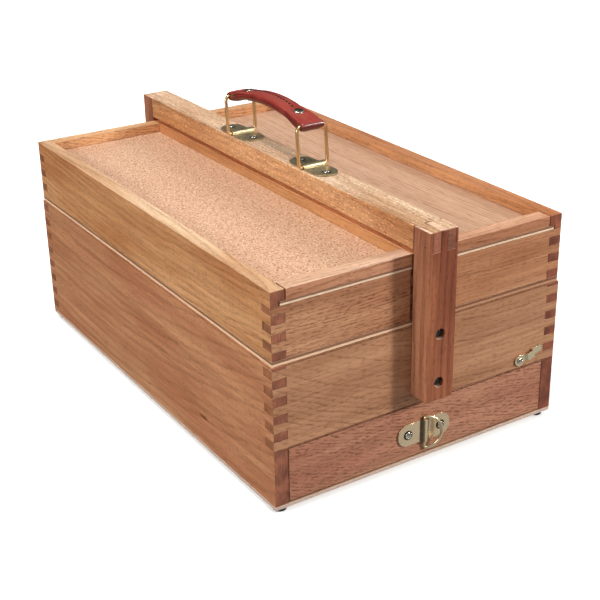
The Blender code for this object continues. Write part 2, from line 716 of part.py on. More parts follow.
drawer_front = box("drawer_front", (-drawer_x, drawer_x), (-half_l, front_in), (DRAWER_Z0, DRAWER_Z1))
cuts = []
for side in (-1.0, 1.0):
    cuts.append((across(side, side_in - GAP, drawer_x + OVER), (front_in - rebate, front_in + OVER),
                 (DRAWER_Z0 - OVER, DRAWER_SIDE_Z1 + GAP)))
boolean(drawer_front, boxes("drawer_front_rebates", cuts))
boolean(drawer_front, boxes("drawer_front_groove", [((-side_in, side_in),
                            (front_in - GROOVE_D, front_in + OVER), floor_groove)]))
pull_holes = []
for way in (-1.0, 1.0):
    start = (PULL_X + way * PULL_SCREW, -half_l - OVER, PULL_Z)
    pull_holes.append((start, (0.0, 1.0, 0.0), 0.0088 + OVER, 0.0018))
boolean(drawer_front, rods("drawer_front_holes", pull_holes))
keep(drawer_front, BEECH_DRAWER)

back_spans = finger_spans(DRAWER_SIDE_Z0 + CASE_FINGER, CASE_PITCH, CASE_FINGER,
                          DRAWER_SIDE_Z0, DRAWER_SIDE_Z1)
back_ends = between(back_spans, DRAWER_SIDE_Z0, DRAWER_SIDE_Z1)
back_in = DRAWER_BACK_Y - DRAWER_SIDE_T
drawer_pieces = [drawer_front]
for side, word in ((-1.0, "left"), (1.0, "right")):
    wall = box("drawer_side_" + word, across(side, side_in, side_out),
               (front_in - rebate + GAP, DRAWER_BACK_Y), (DRAWER_SIDE_Z0, DRAWER_SIDE_Z1))
    wide = across(side, side_in - OVER, side_out + OVER)
    open_ends = []
    for low, high in back_ends:
        low = low - OVER if low < DRAWER_SIDE_Z0 + 0.0001 else low
        high = high + OVER if high > DRAWER_SIDE_Z1 - 0.0001 else high
        open_ends.append((low, high))
    boolean(wall, boxes(wall.name + "_cut", notches(open_ends, wide, (back_in - GAP, DRAWER_BACK_Y + OVER))))
    groove_y = (front_in - rebate - OVER, back_in + GROOVE_D)
    boolean(wall, boxes(wall.name + "_groove", [(across(side, side_in - OVER, side_in + GROOVE_D),
                                                 groove_y, floor_groove)]))
    drawer_pieces.append(keep(wall, INNER_WOOD))

drawer_back = box("drawer_back", (-side_out, side_out), (back_in, DRAWER_BACK_Y),
                  (DRAWER_SIDE_Z0, DRAWER_SIDE_Z1))
deep = (back_in - OVER, DRAWER_BACK_Y + OVER)
cuts = notches(back_spans, (-side_out - OVER, -side_in + GAP), deep)
cuts += notches(back_spans, (side_in - GAP, side_out + OVER), deep)
boolean(drawer_back, boxes("drawer_back_cut", cuts))
boolean(drawer_back, boxes("drawer_back_groove", [((-side_in - GROOVE_D, side_in + GROOVE_D),
                           (back_in - OVER, back_in + GROOVE_D), floor_groove)]))
drawer_pieces.append(keep(drawer_back, INNER_WOOD))

tongue = side_in + GROOVE_D - GAP
drawer_floor = box("drawer_floor", (-side_in + GAP, side_in - GAP),
                   (front_in - GROOVE_D + GAP, back_in + GROOVE_D - GAP),
                   (DRAWER_FLOOR_Z0, DRAWER_FLOOR_Z0 + DRAWER_FLOOR_T))
drawer_floor.data.transform(Matrix.Diagonal((tongue / (side_in - GAP), 1.0, 1.0, 1.0)))
drawer_pieces.append(keep(drawer_floor, PLYWOOD))

# ---------------------------------------------------------------- drawer pull
ring_h = RING_WIRE_R + 0.0006
spot = (PULL_X, -half_l - GAP, PULL_Z)
pull_plate = hinge_plate("pull_plate", PULL_PLATE_L, PULL_PLATE_W, 0.0094, ring_h - GAP,
                         RING_WIRE_R + GAP, 0.0029, (-PULL_SCREW, PULL_SCREW), ON_FRONT, spot, BRASS)
drawer_pieces.append(pull_plate)
for way, word in ((-1.0, "left"), (1.0, "right")):
    seat = (PULL_X + way * PULL_SCREW, -half_l - PLATE_T - 2.0 * GAP, PULL_Z)
    drawer_pieces.append(add_screw("pull_screw_" + word, 0.0031, 0.0014, 0.0015, 0.0092,
                                   (0.0, -1.0, 0.0), seat, STEEL, slot_turn=0.4 * way))


def d_ring():
    """Middle line of the D-ring, in its own plane: x away from the straight side, z along it."""
    straight = RING_HALF - RING_CORNER
    points = [(0.0, -straight), (0.0, -straight / 3.0), (0.0, straight / 3.0), (0.0, straight)]
    points += arc((RING_CORNER, straight), RING_CORNER, 180.0, 90.0, 5)[1:]
    bow = RING_REACH - RING_CORNER
    for index in range(1, 20):
        angle = math.radians(90.0 - 9.0 * index)
        points.append((RING_CORNER + bow * math.cos(angle), RING_HALF * math.sin(angle)))
    points += arc((RING_CORNER, -straight), RING_CORNER, 270.0, 180.0, 5)[:-1]
    return points


ring_axis = (PULL_X, -half_l - ring_h, PULL_Z - RING_DROP)
ring_path = [(x * math.cos(RING_TILT), -x * math.sin(RING_TILT), z) for x, z in d_ring()]
ring = wire("pull_ring", ring_path, RING_WIRE_R, ring_axis)
keep(ring, BRASS, smooth=True)

drawer_motion = motion("drawer_slide", (0.0, -half_l, DRAWER_Z0))
carry(drawer_motion, drawer_pieces + [ring])


# ---------------------------------------------------------------- turn button
def button_profile():
    """Side view of the bent brass strip: distance along the arm, height off the wood."""
    top = [(-LATCH_R, LATCH_T), (LATCH_R + 0.0004, LATCH_T), (LATCH_R + 0.0022, LATCH_STEP + LATCH_T)]
    top += [(0.0145, LATCH_STEP + LATCH_T), (0.0154, LATCH_T), (LATCH_REACH, LATCH_T)]
    low = [(LATCH_REACH, 0.0), (0.0146, 0.0), (0.0138, LATCH_STEP), (LATCH_R + 0.0027, LATCH_STEP)]
    low += [(LATCH_R + 0.0009, 0.0), (-LATCH_R, 0.0)]
    return top + low


def button_outline():
    """Face view of the turn button: a disc with an arm that ends in rounded corners."""
    half = LATCH_ARM_W / 2.0
    meet = math.degrees(math.asin(half / LATCH_R))
    points = arc((0.0, 0.0), LATCH_R, meet, 360.0 - meet, 22)
    points += arc((LATCH_REACH - 0.0015, -half + 0.0018), 0.0015, 270.0, 360.0, 4)
    points += arc((LATCH_REACH - 0.0015, half - 0.0018), 0.0015, 0.0, 90.0, 4)
    return points


spot = (LATCH_X, -half_l - GAP, LATCH_Z)
arm_turn = Matrix.Rotation(-LATCH_TILT, 3, "Y")
button = plate("turn_button", button_profile(), 0.014, arm_turn @ ON_FRONT @ PROFILE_TURN, spot)
outline = plate("turn_button_outline", button_outline(), 0.020, arm_turn @ ON_FRONT, spot)
boolean(button, outline, "INTERSECT")
boolean(button, rods("turn_button_hole", [((LATCH_X, -half_l + OVER, LATCH_Z), (0.0, -1.0, 0.0),
                                           0.006, 0.0018)]))
keep(button, BRASS)
seat = (LATCH_X, -half_l - LATCH_T - 2.0 * GAP, LATCH_Z)
add_screw("latch_screw", 0.0028, 0.0014, 0.0014, 0.0090, (0.0, -1.0, 0.0), seat, STEEL, slot_turn=0.9)


# ---------------------------------------------------------------- handle
def bail_path():
    """Middle line of a bail: a tall rounded rectangle across the bar, from its hinge up."""
    wide = BAIL_HALF - BAIL_CORNER
    high = BAIL_H - BAIL_CORNER
    corners = ((wide, BAIL_CORNER, 270.0), (wide, high, 0.0), (-wide, high, 90.0), (-wide, BAIL_CORNER, 180.0))
    points = []
    for x, z, start in corners:
        for u, v in arc((x, z), BAIL_CORNER, start, start + 90.0, 5):
            points.append((u, v * math.sin(BAIL_LEAN), v * math.cos(BAIL_LEAN)))
    return points


bails = []
for end, name in ((-1.0, "front_bail"), (1.0, "back_bail")):
    bail = wire(name, bail_path(), BAIL_WIRE_R, (0.0, HANDLE_Y + end * BAIL_Y, BAIL_AXIS_Z))
    bails.append(keep(bail, BRASS, smooth=True))

GRIP_Y = HANDLE_Y + BAIL_H * math.sin(BAIL_LEAN)
GRIP_Z = BAIL_AXIS_Z + BAIL_H * math.cos(BAIL_LEAN)


def ease(value):
    """Smooth step from 0 to 1."""
    value = min(max(value, 0.0), 1.0)
    return value * value * (3.0 - 2.0 * value)


def grip_section(y):
    """Middle height, upper and lower thickness, half width and squareness of the grip at y."""
    off = BAIL_Y - abs(y)
    if off <= 0.0:
        half = math.sqrt(max(GRIP_END_R ** 2 - off ** 2, 0.0))
        return 0.0, half, half, GRIP_END_HALF, 12.0
    part = off / BAIL_Y
    rise = GRIP_RISE * math.sin(0.5 * math.pi * part)
    neck = math.sqrt(max(GRIP_END_R ** 2 - off ** 2, 0.0))
    swell = ease((part - 0.30) / 0.40)
    upper = max(neck - 0.5 * rise, 0.0031 + 0.0019 * swell)
    lower = max(neck + 0.5 * rise, 0.0042 + 0.0008 * swell)
    width = GRIP_END_HALF + (GRIP_MID_HALF - GRIP_END_HALF) * ease((part - 0.25) / 0.5)
    square = 12.0 - 9.0 * ease((part - 0.25) / 0.45)
    return rise, upper, lower, width, square


def grip_loft(name, around=24):
    """The padded leather grip: rounded sections set along its arch and skinned."""
    stations = []
    for index in range(6):
        angle = math.radians(90.0 * index / 6.0)
        stations.append(BAIL_Y + GRIP_END_R * math.cos(angle))
    count = 28
    for index in range(count // 2 + 1):
        stations.append(BAIL_Y * (1.0 - 2.0 * index / count))
    stations = stations + [-y for y in reversed(stations[:-1])]
    stations[0] = BAIL_Y + GRIP_END_R * 0.995
    stations[-1] = -stations[0]
    bm = bmesh.new()
    rings = []
    for y in stations:
        rise, upper, lower, width, square = grip_section(y)
        ring_points = []
        for step in range(around):
            angle = 2.0 * math.pi * (step + 0.5) / around
            c = math.cos(angle)
            s = math.sin(angle)
            u = math.copysign(abs(c) ** (2.0 / square), c) * width
            v = math.copysign(abs(s) ** (2.0 / square), s) * (upper if s > 0.0 else lower)
            ring_points.append(bm.verts.new((u, y, v + rise)))
        rings.append(ring_points)
    for first, second in zip(rings, rings[1:]):
        for step in range(around):
            after = (step + 1) % around
            bm.faces.new((first[step], first[after], second[after], second[step]))
    bm.faces.new(list(reversed(rings[0])))
    bm.faces.new(rings[-1])
    bmesh.ops.recalc_face_normals(bm, faces=bm.faces)
    return mesh_object(name, bm, (0.0, GRIP_Y, GRIP_Z))


grip = grip_loft("leather_grip")
eyes = []
for end in (-1.0, 1.0):
    start = (-GRIP_END_HALF - OVER, GRIP_Y + end * BAIL_Y, GRIP_Z)
    eyes.append((start, (1.0, 0.0, 0.0), 2.0 * (GRIP_END_HALF + OVER), BAIL_WIRE_R + GAP))
rivet_rise, rivet_upper, rivet_lower, _, _ = grip_section(RIVET_Y)
climb = GRIP_RISE * 0.5 * math.pi / BAIL_Y * math.cos(0.5 * math.pi * (1.0 - RIVET_Y / BAIL_Y))
lean = math.atan(climb)
for end in (-1.0, 1.0):
    along = Vector((0.0, end * math.sin(lean), math.cos(lean)))
    start = Vector((0.0, GRIP_Y + end * RIVET_Y, GRIP_Z + rivet_rise)) - along * 0.010
    eyes.append((start, along, 0.020, 0.0018))
boolean(grip, rods("leather_grip_eyes", eyes))
keep(grip, LEATHER, smooth=True)

rivets = []
for end, place in ((-1.0, "front"), (1.0, "back")):
    top = rivet_upper + 0.0010
    low = -rivet_lower - 0.0009
    profile = [(0.0, top + 0.0011), (RIVET_R * 0.55, top + 0.0009), (RIVET_R * 0.85, top + 0.0005)]
    profile += [(RIVET_R, top), (0.0014, top), (0.0014, low), (0.0028, low)]
    profile += [(0.0028, low - 0.0004), (0.0020, low - 0.0009), (0.0, low - 0.0009)]
    spot = (0.0, GRIP_Y + end * RIVET_Y, GRIP_Z + rivet_rise)
    along = (0.0, end * math.sin(lean), math.cos(lean))
    rivet = turned("rivet_" + place, profile, along, spot, steps=20)
    rivets.append(keep(rivet, ANTIQUE_BRASS, smooth=True))

grip_motion = motion("grip_pivot", (0.0, GRIP_Y - BAIL_Y, GRIP_Z))
carry(grip_motion, [grip] + rivets)
carry(bails[0], [grip_motion])
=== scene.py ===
"""Looks of the artist's tool box: beech, plywood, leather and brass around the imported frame."""

import math

import bmesh
import bpy
from mathutils import Matrix, Vector


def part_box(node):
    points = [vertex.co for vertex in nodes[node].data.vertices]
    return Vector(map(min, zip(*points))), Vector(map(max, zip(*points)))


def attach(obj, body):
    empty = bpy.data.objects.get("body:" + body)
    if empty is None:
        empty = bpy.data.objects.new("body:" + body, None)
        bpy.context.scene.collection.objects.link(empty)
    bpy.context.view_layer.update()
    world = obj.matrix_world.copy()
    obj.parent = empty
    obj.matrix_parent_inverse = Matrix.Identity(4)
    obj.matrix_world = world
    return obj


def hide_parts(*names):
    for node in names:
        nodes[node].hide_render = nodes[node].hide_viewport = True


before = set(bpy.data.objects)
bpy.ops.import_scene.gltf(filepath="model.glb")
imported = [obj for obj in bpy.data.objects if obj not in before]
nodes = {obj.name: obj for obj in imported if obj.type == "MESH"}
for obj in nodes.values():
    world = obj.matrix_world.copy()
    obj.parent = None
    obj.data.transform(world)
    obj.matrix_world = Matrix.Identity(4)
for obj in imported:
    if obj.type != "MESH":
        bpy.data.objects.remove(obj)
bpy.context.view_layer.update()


# ---------------------------------------------------------------- shader building
def tone(red, green, blue):
    """An sRGB colour, 0 to 255, as the linear RGBA that sockets take."""
    def linear(value):
        value /= 255.0
        return value / 12.92 if value <= 0.04045 else ((value + 0.055) / 1.055) ** 2.4
    return (linear(red), linear(green), linear(blue), 1.0)


class Shader:
    """A material whose nodes are added by short calls that return sockets."""

    def __init__(self, name, **fixed):
        self.material = bpy.data.materials.new(name)
        self.material.use_nodes = True
        self.tree = self.material.node_tree
        self.bsdf = self.tree.nodes["Principled BSDF"]
        coords = self.tree.nodes.new("ShaderNodeTexCoord")
        self.place = coords.outputs["Object"]
        self.facing = coords.outputs["Normal"]
        for socket, value in fixed.items():
            self.bsdf.inputs[socket.replace("_", " ")].default_value = value

    def put(self, socket, value):
        if isinstance(value, bpy.types.NodeSocket):
            self.tree.links.new(value, socket)
        elif socket.type == "VECTOR":
            socket.default_value = value[:3]
        else:
            socket.default_value = value

    def output(self, socket, value):
        self.put(self.bsdf.inputs[socket], value)

    def math(self, operation, *values):
        node = self.tree.nodes.new("ShaderNodeMath")
        node.operation = operation
        for socket, value in zip(node.inputs, values):
            self.put(socket, value)
        return node.outputs[0]

    def times(self, first, second):
        return self.math("MULTIPLY", first, second)

    def plus(self, first, second):
        return self.math("ADD", first, second)

    def about(self, value, amount):
        """Noise around 0.5 as a factor around 1."""
        return self.plus(self.times(self.plus(value, -0.5), amount), 1.0)

    def vector(self, operation, *values):
        node = self.tree.nodes.new("ShaderNodeVectorMath")
        node.operation = operation
        for socket, value in zip(node.inputs, values):
            self.put(socket, value)
        return node.outputs["Value" if operation in ("LENGTH", "DOT_PRODUCT") else "Vector"]

    def split(self, vector):
        node = self.tree.nodes.new("ShaderNodeSeparateXYZ")
        self.put(node.inputs[0], vector)
        return list(node.outputs)

    def join(self, x, y, z):
        node = self.tree.nodes.new("ShaderNodeCombineXYZ")
        for socket, value in zip(node.inputs, (x, y, z)):
            self.put(socket, value)
        return node.outputs[0]

    def noise(self, vector, scale=1.0, detail=2.0, roughness=0.5):
        """Perlin noise from about 0.25 to 0.75, around 0.5."""
        node = self.tree.nodes.new("ShaderNodeTexNoise")
        self.put(node.inputs["Vector"], vector)
        node.inputs["Scale"].default_value = scale
        node.inputs["Detail"].default_value = detail
        node.inputs["Roughness"].default_value = roughness
        return node.outputs[0]

    def cells(self, vector, scale=1.0):
        """Distance to the nearest of scattered points, and a random value of that point."""
        node = self.tree.nodes.new("ShaderNodeTexVoronoi")
        self.put(node.inputs["Vector"], vector)
        node.inputs["Scale"].default_value = scale
        return node.outputs["Distance"], self.split(node.outputs["Color"])[0]

    def random(self, value):
        node = self.tree.nodes.new("ShaderNodeTexWhiteNoise")
        node.noise_dimensions = "1D"
        self.put(node.inputs["W"], value)
        return node.outputs["Value"]

    def ramp(self, value, low, high, start=0.0, end=1.0):
        """A smooth step of value between low and high, from start to end."""
        node = self.tree.nodes.new("ShaderNodeMapRange")
        node.interpolation_type = "SMOOTHSTEP"
        for socket, number in zip(node.inputs, (value, low, high, start, end)):
            self.put(socket, number)
        return node.outputs[0]

    def mix(self, factor, first, second):
        node = self.tree.nodes.new("ShaderNodeMix")
        node.data_type = "RGBA"
        for index, value in ((0, factor), (6, first), (7, second)):
            self.put(node.inputs[index], value)
        return node.outputs[2]

    def shade(self, colour, amount):
        """The colour multiplied by a grey amount."""
        return self.vector("SCALE", colour, (0.0, 0.0, 0.0), (0.0, 0.0, 0.0), amount)

    def rounded(self, radius):
        """Normal with the edges rounded off, and a mask that is 1 at a sharp edge."""
        bevel = self.tree.nodes.new("ShaderNodeBevel")
        bevel.samples = 4
        bevel.inputs["Radius"].default_value = radius
        geometry = self.tree.nodes.new("ShaderNodeNewGeometry")
        across = self.vector("DOT_PRODUCT", bevel.outputs[0], geometry.outputs["Normal"])
        return bevel.outputs[0], self.ramp(across, 0.99, 0.80)

    def bump(self, height, distance, strength, normal=None):
        node = self.tree.nodes.new("ShaderNodeBump")
        node.inputs["Strength"].default_value = strength
        node.inputs["Distance"].default_value = distance
        self.put(node.inputs["Height"], height)
        if normal is not None:
            self.put(node.inputs["Normal"], normal)
        self.output("Normal", node.outputs[0])


# ---------------------------------------------------------------- wood
FACE_ON = (0.75, 0.90)      # how much of a normal points along an axis before its face counts as square to it
# The colour of painted shade along the upper part of plywood edges.
LIP_SHADE_TONE = tone(128, 76, 50)


class Wood(Shader):
    """Oiled wood. axes names the axes along the grain, across the face and into it. Sizes are in metres."""

    def __init__(self, name, axes, seed, roughness):
        super().__init__(name, Specular_IOR_Level=0.30)
        self.axes = axes
        self.seed = seed
        self.roughness = roughness
        self.places = dict(zip("XYZ", self.split(self.place)))
        self.normals = dict(zip("XYZ", self.split(self.facing)))
        self.grain_place = [self.places[axis] for axis in axes]
        self.shifted = [self.plus(value, seed * step) for value, step in
                        zip(self.grain_place, (0.731, 0.417, 0.293))]
        self.shadow = 1.0
        self.height = 0.0

    def square_to(self, axis):
        """1 on the faces that look along the axis, either way, and 0 on the others."""
        return self.ramp(self.math("ABSOLUTE", self.normals[axis]), *FACE_ON)

    def darken(self, amount):
        self.shadow = self.times(self.shadow, self.plus(self.times(amount, -1.0), 1.0))

    def stretched(self, length, width):
        """The place, scaled so that a noise feature is length along the grain and width across it."""
        return self.join(*(self.times(value, 1.0 / size) for value, size in
                           zip(self.shifted, (length, width, width))))

    def fibres(self, pale, deep, streak, mottle=1.0):
        """Base colour in soft clouds, and fine and broad streaks along the grain."""
        cloud = self.noise(self.stretched(0.16, 0.030), detail=3.0)
        self.colour = self.mix(self.times(self.ramp(cloud, 0.30, 0.70), mottle), pale, deep)
        fine = self.noise(self.stretched(0.045, 0.0020), detail=3.0, roughness=0.65)
        self.broad = self.noise(self.stretched(0.200, 0.0075), detail=2.0)
        broad = self.times(self.plus(self.broad, -0.5), 2.2 * streak)
        self.shadow = self.plus(self.about(fine, 2.8 * streak), broad)
        self.height = self.times(fine, 0.45)

    def growth(self, spacing, centre, wave, strength, broken):
        """Thin dark lines of late wood on wide arcs around a far centre, given along and across the grain.
        They waver by wave, and in their gaps they keep the share broken of their strength."""
        along, across, depth = self.grain_place
        bend = self.times(self.plus(self.noise(self.stretched(0.060, 0.022), detail=3.0), -0.5), wave)
        radius = self.vector("LENGTH", self.join(
            self.plus(along, -centre[0]), self.plus(self.plus(across, -centre[1]), bend), 0.0))
        count = self.times(self.plus(radius, self.times(depth, 0.7)), 1.0 / spacing)
        phase = self.math("FRACT", count)
        rise = self.ramp(phase, 0.20, 0.92)
        late = self.times(self.times(rise, rise), self.ramp(phase, 1.0, 0.95))
        each = self.ramp(self.random(self.math("FLOOR", count)), 0.0, 1.0, 0.30, 1.0)
        gaps = self.ramp(self.noise(self.stretched(0.007, 0.0022), detail=2.0), 0.42, 0.56, broken, 1.0)
        line = self.times(self.times(late, each), gaps)
        self.darken(self.times(line, strength))
        self.height = self.plus(self.height, self.times(line, -0.4))

    def flecks(self, length, width, share, strength):
        """Short dashes of ray cells in a share of places. A negative strength makes them paler."""
        drift = self.times(self.plus(self.noise(self.stretched(0.030, 0.012), detail=1.0), -0.5), 0.007)
        along, across, depth = self.shifted
        distance, chance = self.cells(self.join(self.times(along, 1.0 / length),
                                                self.times(self.plus(across, drift), 1.0 / width),
                                                self.times(depth, 1.0 / width)))
        dash = self.times(self.ramp(distance, 0.44, 0.18), self.ramp(chance, share + 0.02, share - 0.02))
        self.darken(self.times(dash, strength))
        self.height = self.plus(self.height, self.times(dash, -0.5))

    def spots(self, marks):
        """Knots, nail heads, smudges and painted shade in holes: (place, size, strength) of each."""
        for spot, size, strength in marks:
            away = self.vector("LENGTH", self.vector("MULTIPLY", self.vector("SUBTRACT", self.place, spot),
                                                     tuple(1.0 / value for value in size)))
            self.darken(self.times(self.ramp(away, 1.0, 0.35), strength))

    def seams(self, lines, width, strength):
        """Painted shade in lines on a panel's two broad faces, in its joints and beside the parts next to it:
        the axis and position of each.
        """
        strength = self.times(self.square_to(self.axes[2]), strength)
        for axis, position in lines:
            away = self.math("ABSOLUTE", self.plus(self.places[axis], -position))
            # Painted shade: darker within the width of each line.
            self.darken(self.times(self.ramp(away, width, 0.2 * width), strength))

    def sawn_end(self, end):
        """End grain: pores, fine rays and uneven patches where the surface cuts across the grain."""
        _, across, depth = self.shifted
        pores = self.noise(self.place, scale=1100.0, detail=1.0)

        def over_end(across_scale, depth_scale, detail):
            return self.noise(self.join(self.times(across, across_scale), self.times(depth, depth_scale),
                                        self.seed), detail=detail)

        rays = over_end(160.0, 900.0, 2.0)
        patch = over_end(75.0, 75.0, 1.0)
        dark = self.times(self.times(self.about(pores, 0.7), self.about(rays, 1.1)), self.about(patch, 1.5))
        return self.square_to(self.axes[0]), self.shade(end, dark)

    def toned(self, green=1.25, blue=1.45):
        """The wood's colour in the grain's shadow, which takes more of the green and blue than of the red."""
        return self.vector("MULTIPLY", self.colour, self.join(
            self.shadow, self.math("POWER", self.shadow, green), self.math("POWER", self.shadow, blue)))

    def oil(self, cut, colour, uneven=0.16):
        """Finish: edges lightened as rubbed wear and as a painted highlight, satin sheen and the grain's
        relief. cut is 1 where the end grain shows.
        """
        normal, edge = self.rounded(0.0006)
        # Sharp edges are lightened: partly rubbed wear, partly a painted edge highlight.
        self.output("Base Color", self.mix(self.times(edge, 0.55), colour, self.shade(colour, 1.22)))
        satin = self.plus(self.times(self.broad, uneven), self.roughness - 0.5 * uneven)
        self.output("Roughness", self.plus(satin, self.times(cut, 0.18)))
        self.bump(self.height, 0.00030, 0.6, normal)


def beech(name, axes, pale, deep, end, seed, rings, flecks, streak, marks=(), side=None, roughness=0.44,
          seam=None):
    """Solid beech. side is a tint of the faces that look along the axis across the grain, painted light or
    shade that makes them lighter or darker than the rest.
    """
    wood = Wood(name, axes, seed, roughness)
    wood.fibres(pale, deep, streak)
    wood.growth(*rings)
    for kind in flecks:
        wood.flecks(*kind)
    wood.spots(marks)
    if seam:
        wood.seams(*seam)
    cut, sawn = wood.sawn_end(end)
    colour = wood.toned()
    # Painted light and shade: the faces across the grain tinted lighter or darker than the rest.
    if side:
        colour = wood.mix(wood.square_to(axes[1]), colour, wood.vector("MULTIPLY", colour, side))
    wood.oil(cut, wood.mix(cut, colour, sawn))
    return wood.material


def plywood(node, pale, deep, seed, edges, flecks=(), streak=0.12, rings=None, lip_shade=0.0):
    """A thin three-ply board lying flat, its grain along Y: veneer on its faces, a sandwich of plies on its
    edges. lip is how much painted shade darkens the upper part of the edges."""
    low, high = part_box(node)
    wood = Wood("ply_" + node, "YXZ", seed, 0.48)
    wood.fibres(pale, deep, streak, mottle=0.06)
    if rings:
        wood.growth(*rings)
    for kind in flecks:
        wood.flecks(*kind)
    veneer = wood.toned(1.50, 1.85)
    level = wood.times(wood.plus(wood.places["Z"], -low.z), 1.0 / (high.z - low.z))
    core = wood.times(wood.ramp(level, 0.27, 0.33), wood.ramp(level, 0.73, 0.67))
    fibre = wood.noise(wood.vector("MULTIPLY", wood.place, (160.0, 160.0, 2500.0)), detail=3.0)
    plies = wood.shade(wood.mix(core, edges[0], edges[1]), wood.about(fibre, 1.1))
    # Painted shade: the upper part of the edges darkened towards a dark brown.
    plies = wood.mix(wood.ramp(level, 0.42, 0.62, 0.0, lip_shade), plies, LIP_SHADE_TONE)
    edge = wood.ramp(wood.math("ABSOLUTE", wood.normals["Z"]), *reversed(FACE_ON))
    wood.oil(edge, wood.mix(edge, veneer, plies), uneven=0.03)
    return wood.material


# ---------------------------------------------------------------- metal, leather, rubber
FLANK_START = (0.0010, 0.0018)      # the painted shade on the plate's flanks fades in and out at these distances from the hinge
FLANK_END = (0.0052, 0.0042)
FLANK_PAINTED_SHADE = 0.68


def metal(name, bright, dull, roughness, tarnish, scratch=0.25, edge_lift=0.35, grain=260.0, metallic=1.0,
          relief=0.3, flanks=None):
    """Plated or bare metal with patches of tarnish, fine scratches and edges rubbed bright. flanks is the x
    of a hinge with painted shade on the plate on both sides of it."""
    s = Shader(name, Metallic=metallic)
    patches = s.ramp(s.noise(s.place, scale=grain, detail=4.0, roughness=0.6), 0.40, 0.66)
    hairs = s.noise(s.vector("MULTIPLY", s.place, (5200.0, 900.0, 900.0)), detail=2.0)
    colour = s.mix(s.times(patches, tarnish), bright, dull)
    # Painted shade on the plate beside the hinge's barrel.
    if flanks:
        away = s.math("ABSOLUTE", s.plus(s.split(s.place)[0], -flanks))
        dark = s.times(s.ramp(away, *FLANK_START), s.ramp(away, *FLANK_END))
        colour = s.shade(colour, s.plus(s.times(dark, -FLANK_PAINTED_SHADE), 1.0))
    normal = None
    if edge_lift:
        normal, edge = s.rounded(0.00025)
        colour = s.mix(s.times(edge, edge_lift), colour, bright)
    s.output("Base Color", colour)
    rough = s.plus(s.times(patches, 0.12), roughness)
    s.output("Roughness", s.plus(rough, s.times(s.plus(hairs, -0.5), scratch)))
    if relief:
        s.bump(s.plus(hairs, s.times(patches, 0.4)), 0.00003, relief, normal)
    return s.material


def leather(name, colour, dark, worn):
    """Polished oxblood leather with a fine pebble, rubbed along its crown, and with painted shade that
    darkens it on its flanks and underside.
    """
    s = Shader(name, Coat_Weight=0.40, Coat_Roughness=0.12, Specular_IOR_Level=0.40)
    pebble, _ = s.cells(s.place, scale=1400.0)
    crease = s.noise(s.vector("MULTIPLY", s.place, (420.0, 110.0, 420.0)), detail=4.0, roughness=0.6)
    cloud = s.noise(s.place, scale=70.0, detail=3.0)
    up = s.split(s.facing)[2]
    base = s.mix(s.ramp(cloud, 0.35, 0.68), colour, dark)
    # Painted shade: darker the less the surface faces up, on the flanks and underside.
    base = s.mix(s.ramp(up, 0.98, -0.30, 0.0, 0.90), base, s.shade(dark, 0.52))
    rubbed = s.times(s.ramp(up, 0.55, 0.98), s.ramp(cloud, 0.42, 0.62))
    base = s.mix(s.times(rubbed, 0.45), base, worn)
    s.output("Base Color", s.shade(base, s.about(crease, 0.7)))
    s.output("Roughness", s.plus(s.times(cloud, 0.16), 0.28))
    s.bump(s.plus(s.times(pebble, 0.5), crease), 0.00014, 0.5)
    return s.material


def plain(name, colour, dark, roughness, scale):
    """Rubber, thread and other even materials, with a faint mottle and grain."""
    s = Shader(name)
    cloud = s.noise(s.place, scale=scale, detail=3.0)
    grain = s.noise(s.place, scale=scale * 9.0, detail=2.0)
    s.output("Base Color", s.mix(s.ramp(cloud, 0.35, 0.65), colour, dark))
    s.output("Roughness", s.plus(s.times(grain, 0.2), roughness - 0.1))
    s.bump(grain, 0.00005, 0.5)
    return s.material


# ---------------------------------------------------------------- materials of the wooden pieces
END_DARK = tone(152, 93, 69)
END_RIGHT = tone(138, 77, 55)
END_WARM = tone(156, 100, 68)
END_PALE = tone(216, 178, 148)

# Flecks: length, width, share of the cells and strength.
LID_FLECKS = ((0.0030, 0.0016, 0.95, 0.50), (0.0032, 0.0018, 0.65, -0.34))
RIGHT_FLECKS = ((0.0240, 0.0012, 0.80, 0.20), (0.0160, 0.0014, 0.60, -0.12))
DASHES = ((0.0060, 0.0013, 0.85, 0.36),)
FAINT_DASHES = ((0.0070, 0.0013, 0.60, 0.24),)
MOTTLE = ((0.0060, 0.0015, 0.65, 0.40), (0.0042, 0.0020, 0.65, -0.42))

side_low, side_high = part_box("side_board_left")
bar_low, bar_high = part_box("carry_bar")
leg_low, leg_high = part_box("front_leg")
front_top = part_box("front_board")[1].z
tray_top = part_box("tray_left_front_wall")[1].z

# Marks: place, size and strength.
KNOT_AT = (-0.107, 0.026)           # y, and height above the side board's lower edge
KNOT_SIZE = (0.004, 0.010, 0.0022)
BRAD_AT = (-0.004, -0.013)          # y from the middle of the leg's side, and height from its top
BRAD_SIZE = (0.0011, 0.0011, 0.0011)
SMUDGE_AT = (0.010, 0.017)          # x and y from the bar's front left corner
SMUDGE_STEP = (0.004, 0.003)
SMUDGE_SIZE = (0.0010, 0.005, 0.003)
# Painted shade in the leg's screw holes: how deep into the leg it centres, and its size.
HOLE_SHADE_DEPTH = 0.0016
HOLE_SHADE_SIZE = (0.0056, 0.0034, 0.0056)

knot = ((side_low.x, KNOT_AT[0], side_low.z + KNOT_AT[1]), KNOT_SIZE, 0.55)
brad = ((leg_low.x, (leg_low.y + leg_high.y) / 2.0 + BRAD_AT[0], leg_high.z + BRAD_AT[1]), BRAD_SIZE, 0.85)
smudges = [((bar_low.x + SMUDGE_AT[0] + SMUDGE_STEP[0] * index,
             bar_low.y + SMUDGE_AT[1] + SMUDGE_STEP[1] * index, bar_high.z), SMUDGE_SIZE, 0.55)
           for index in range(3)]


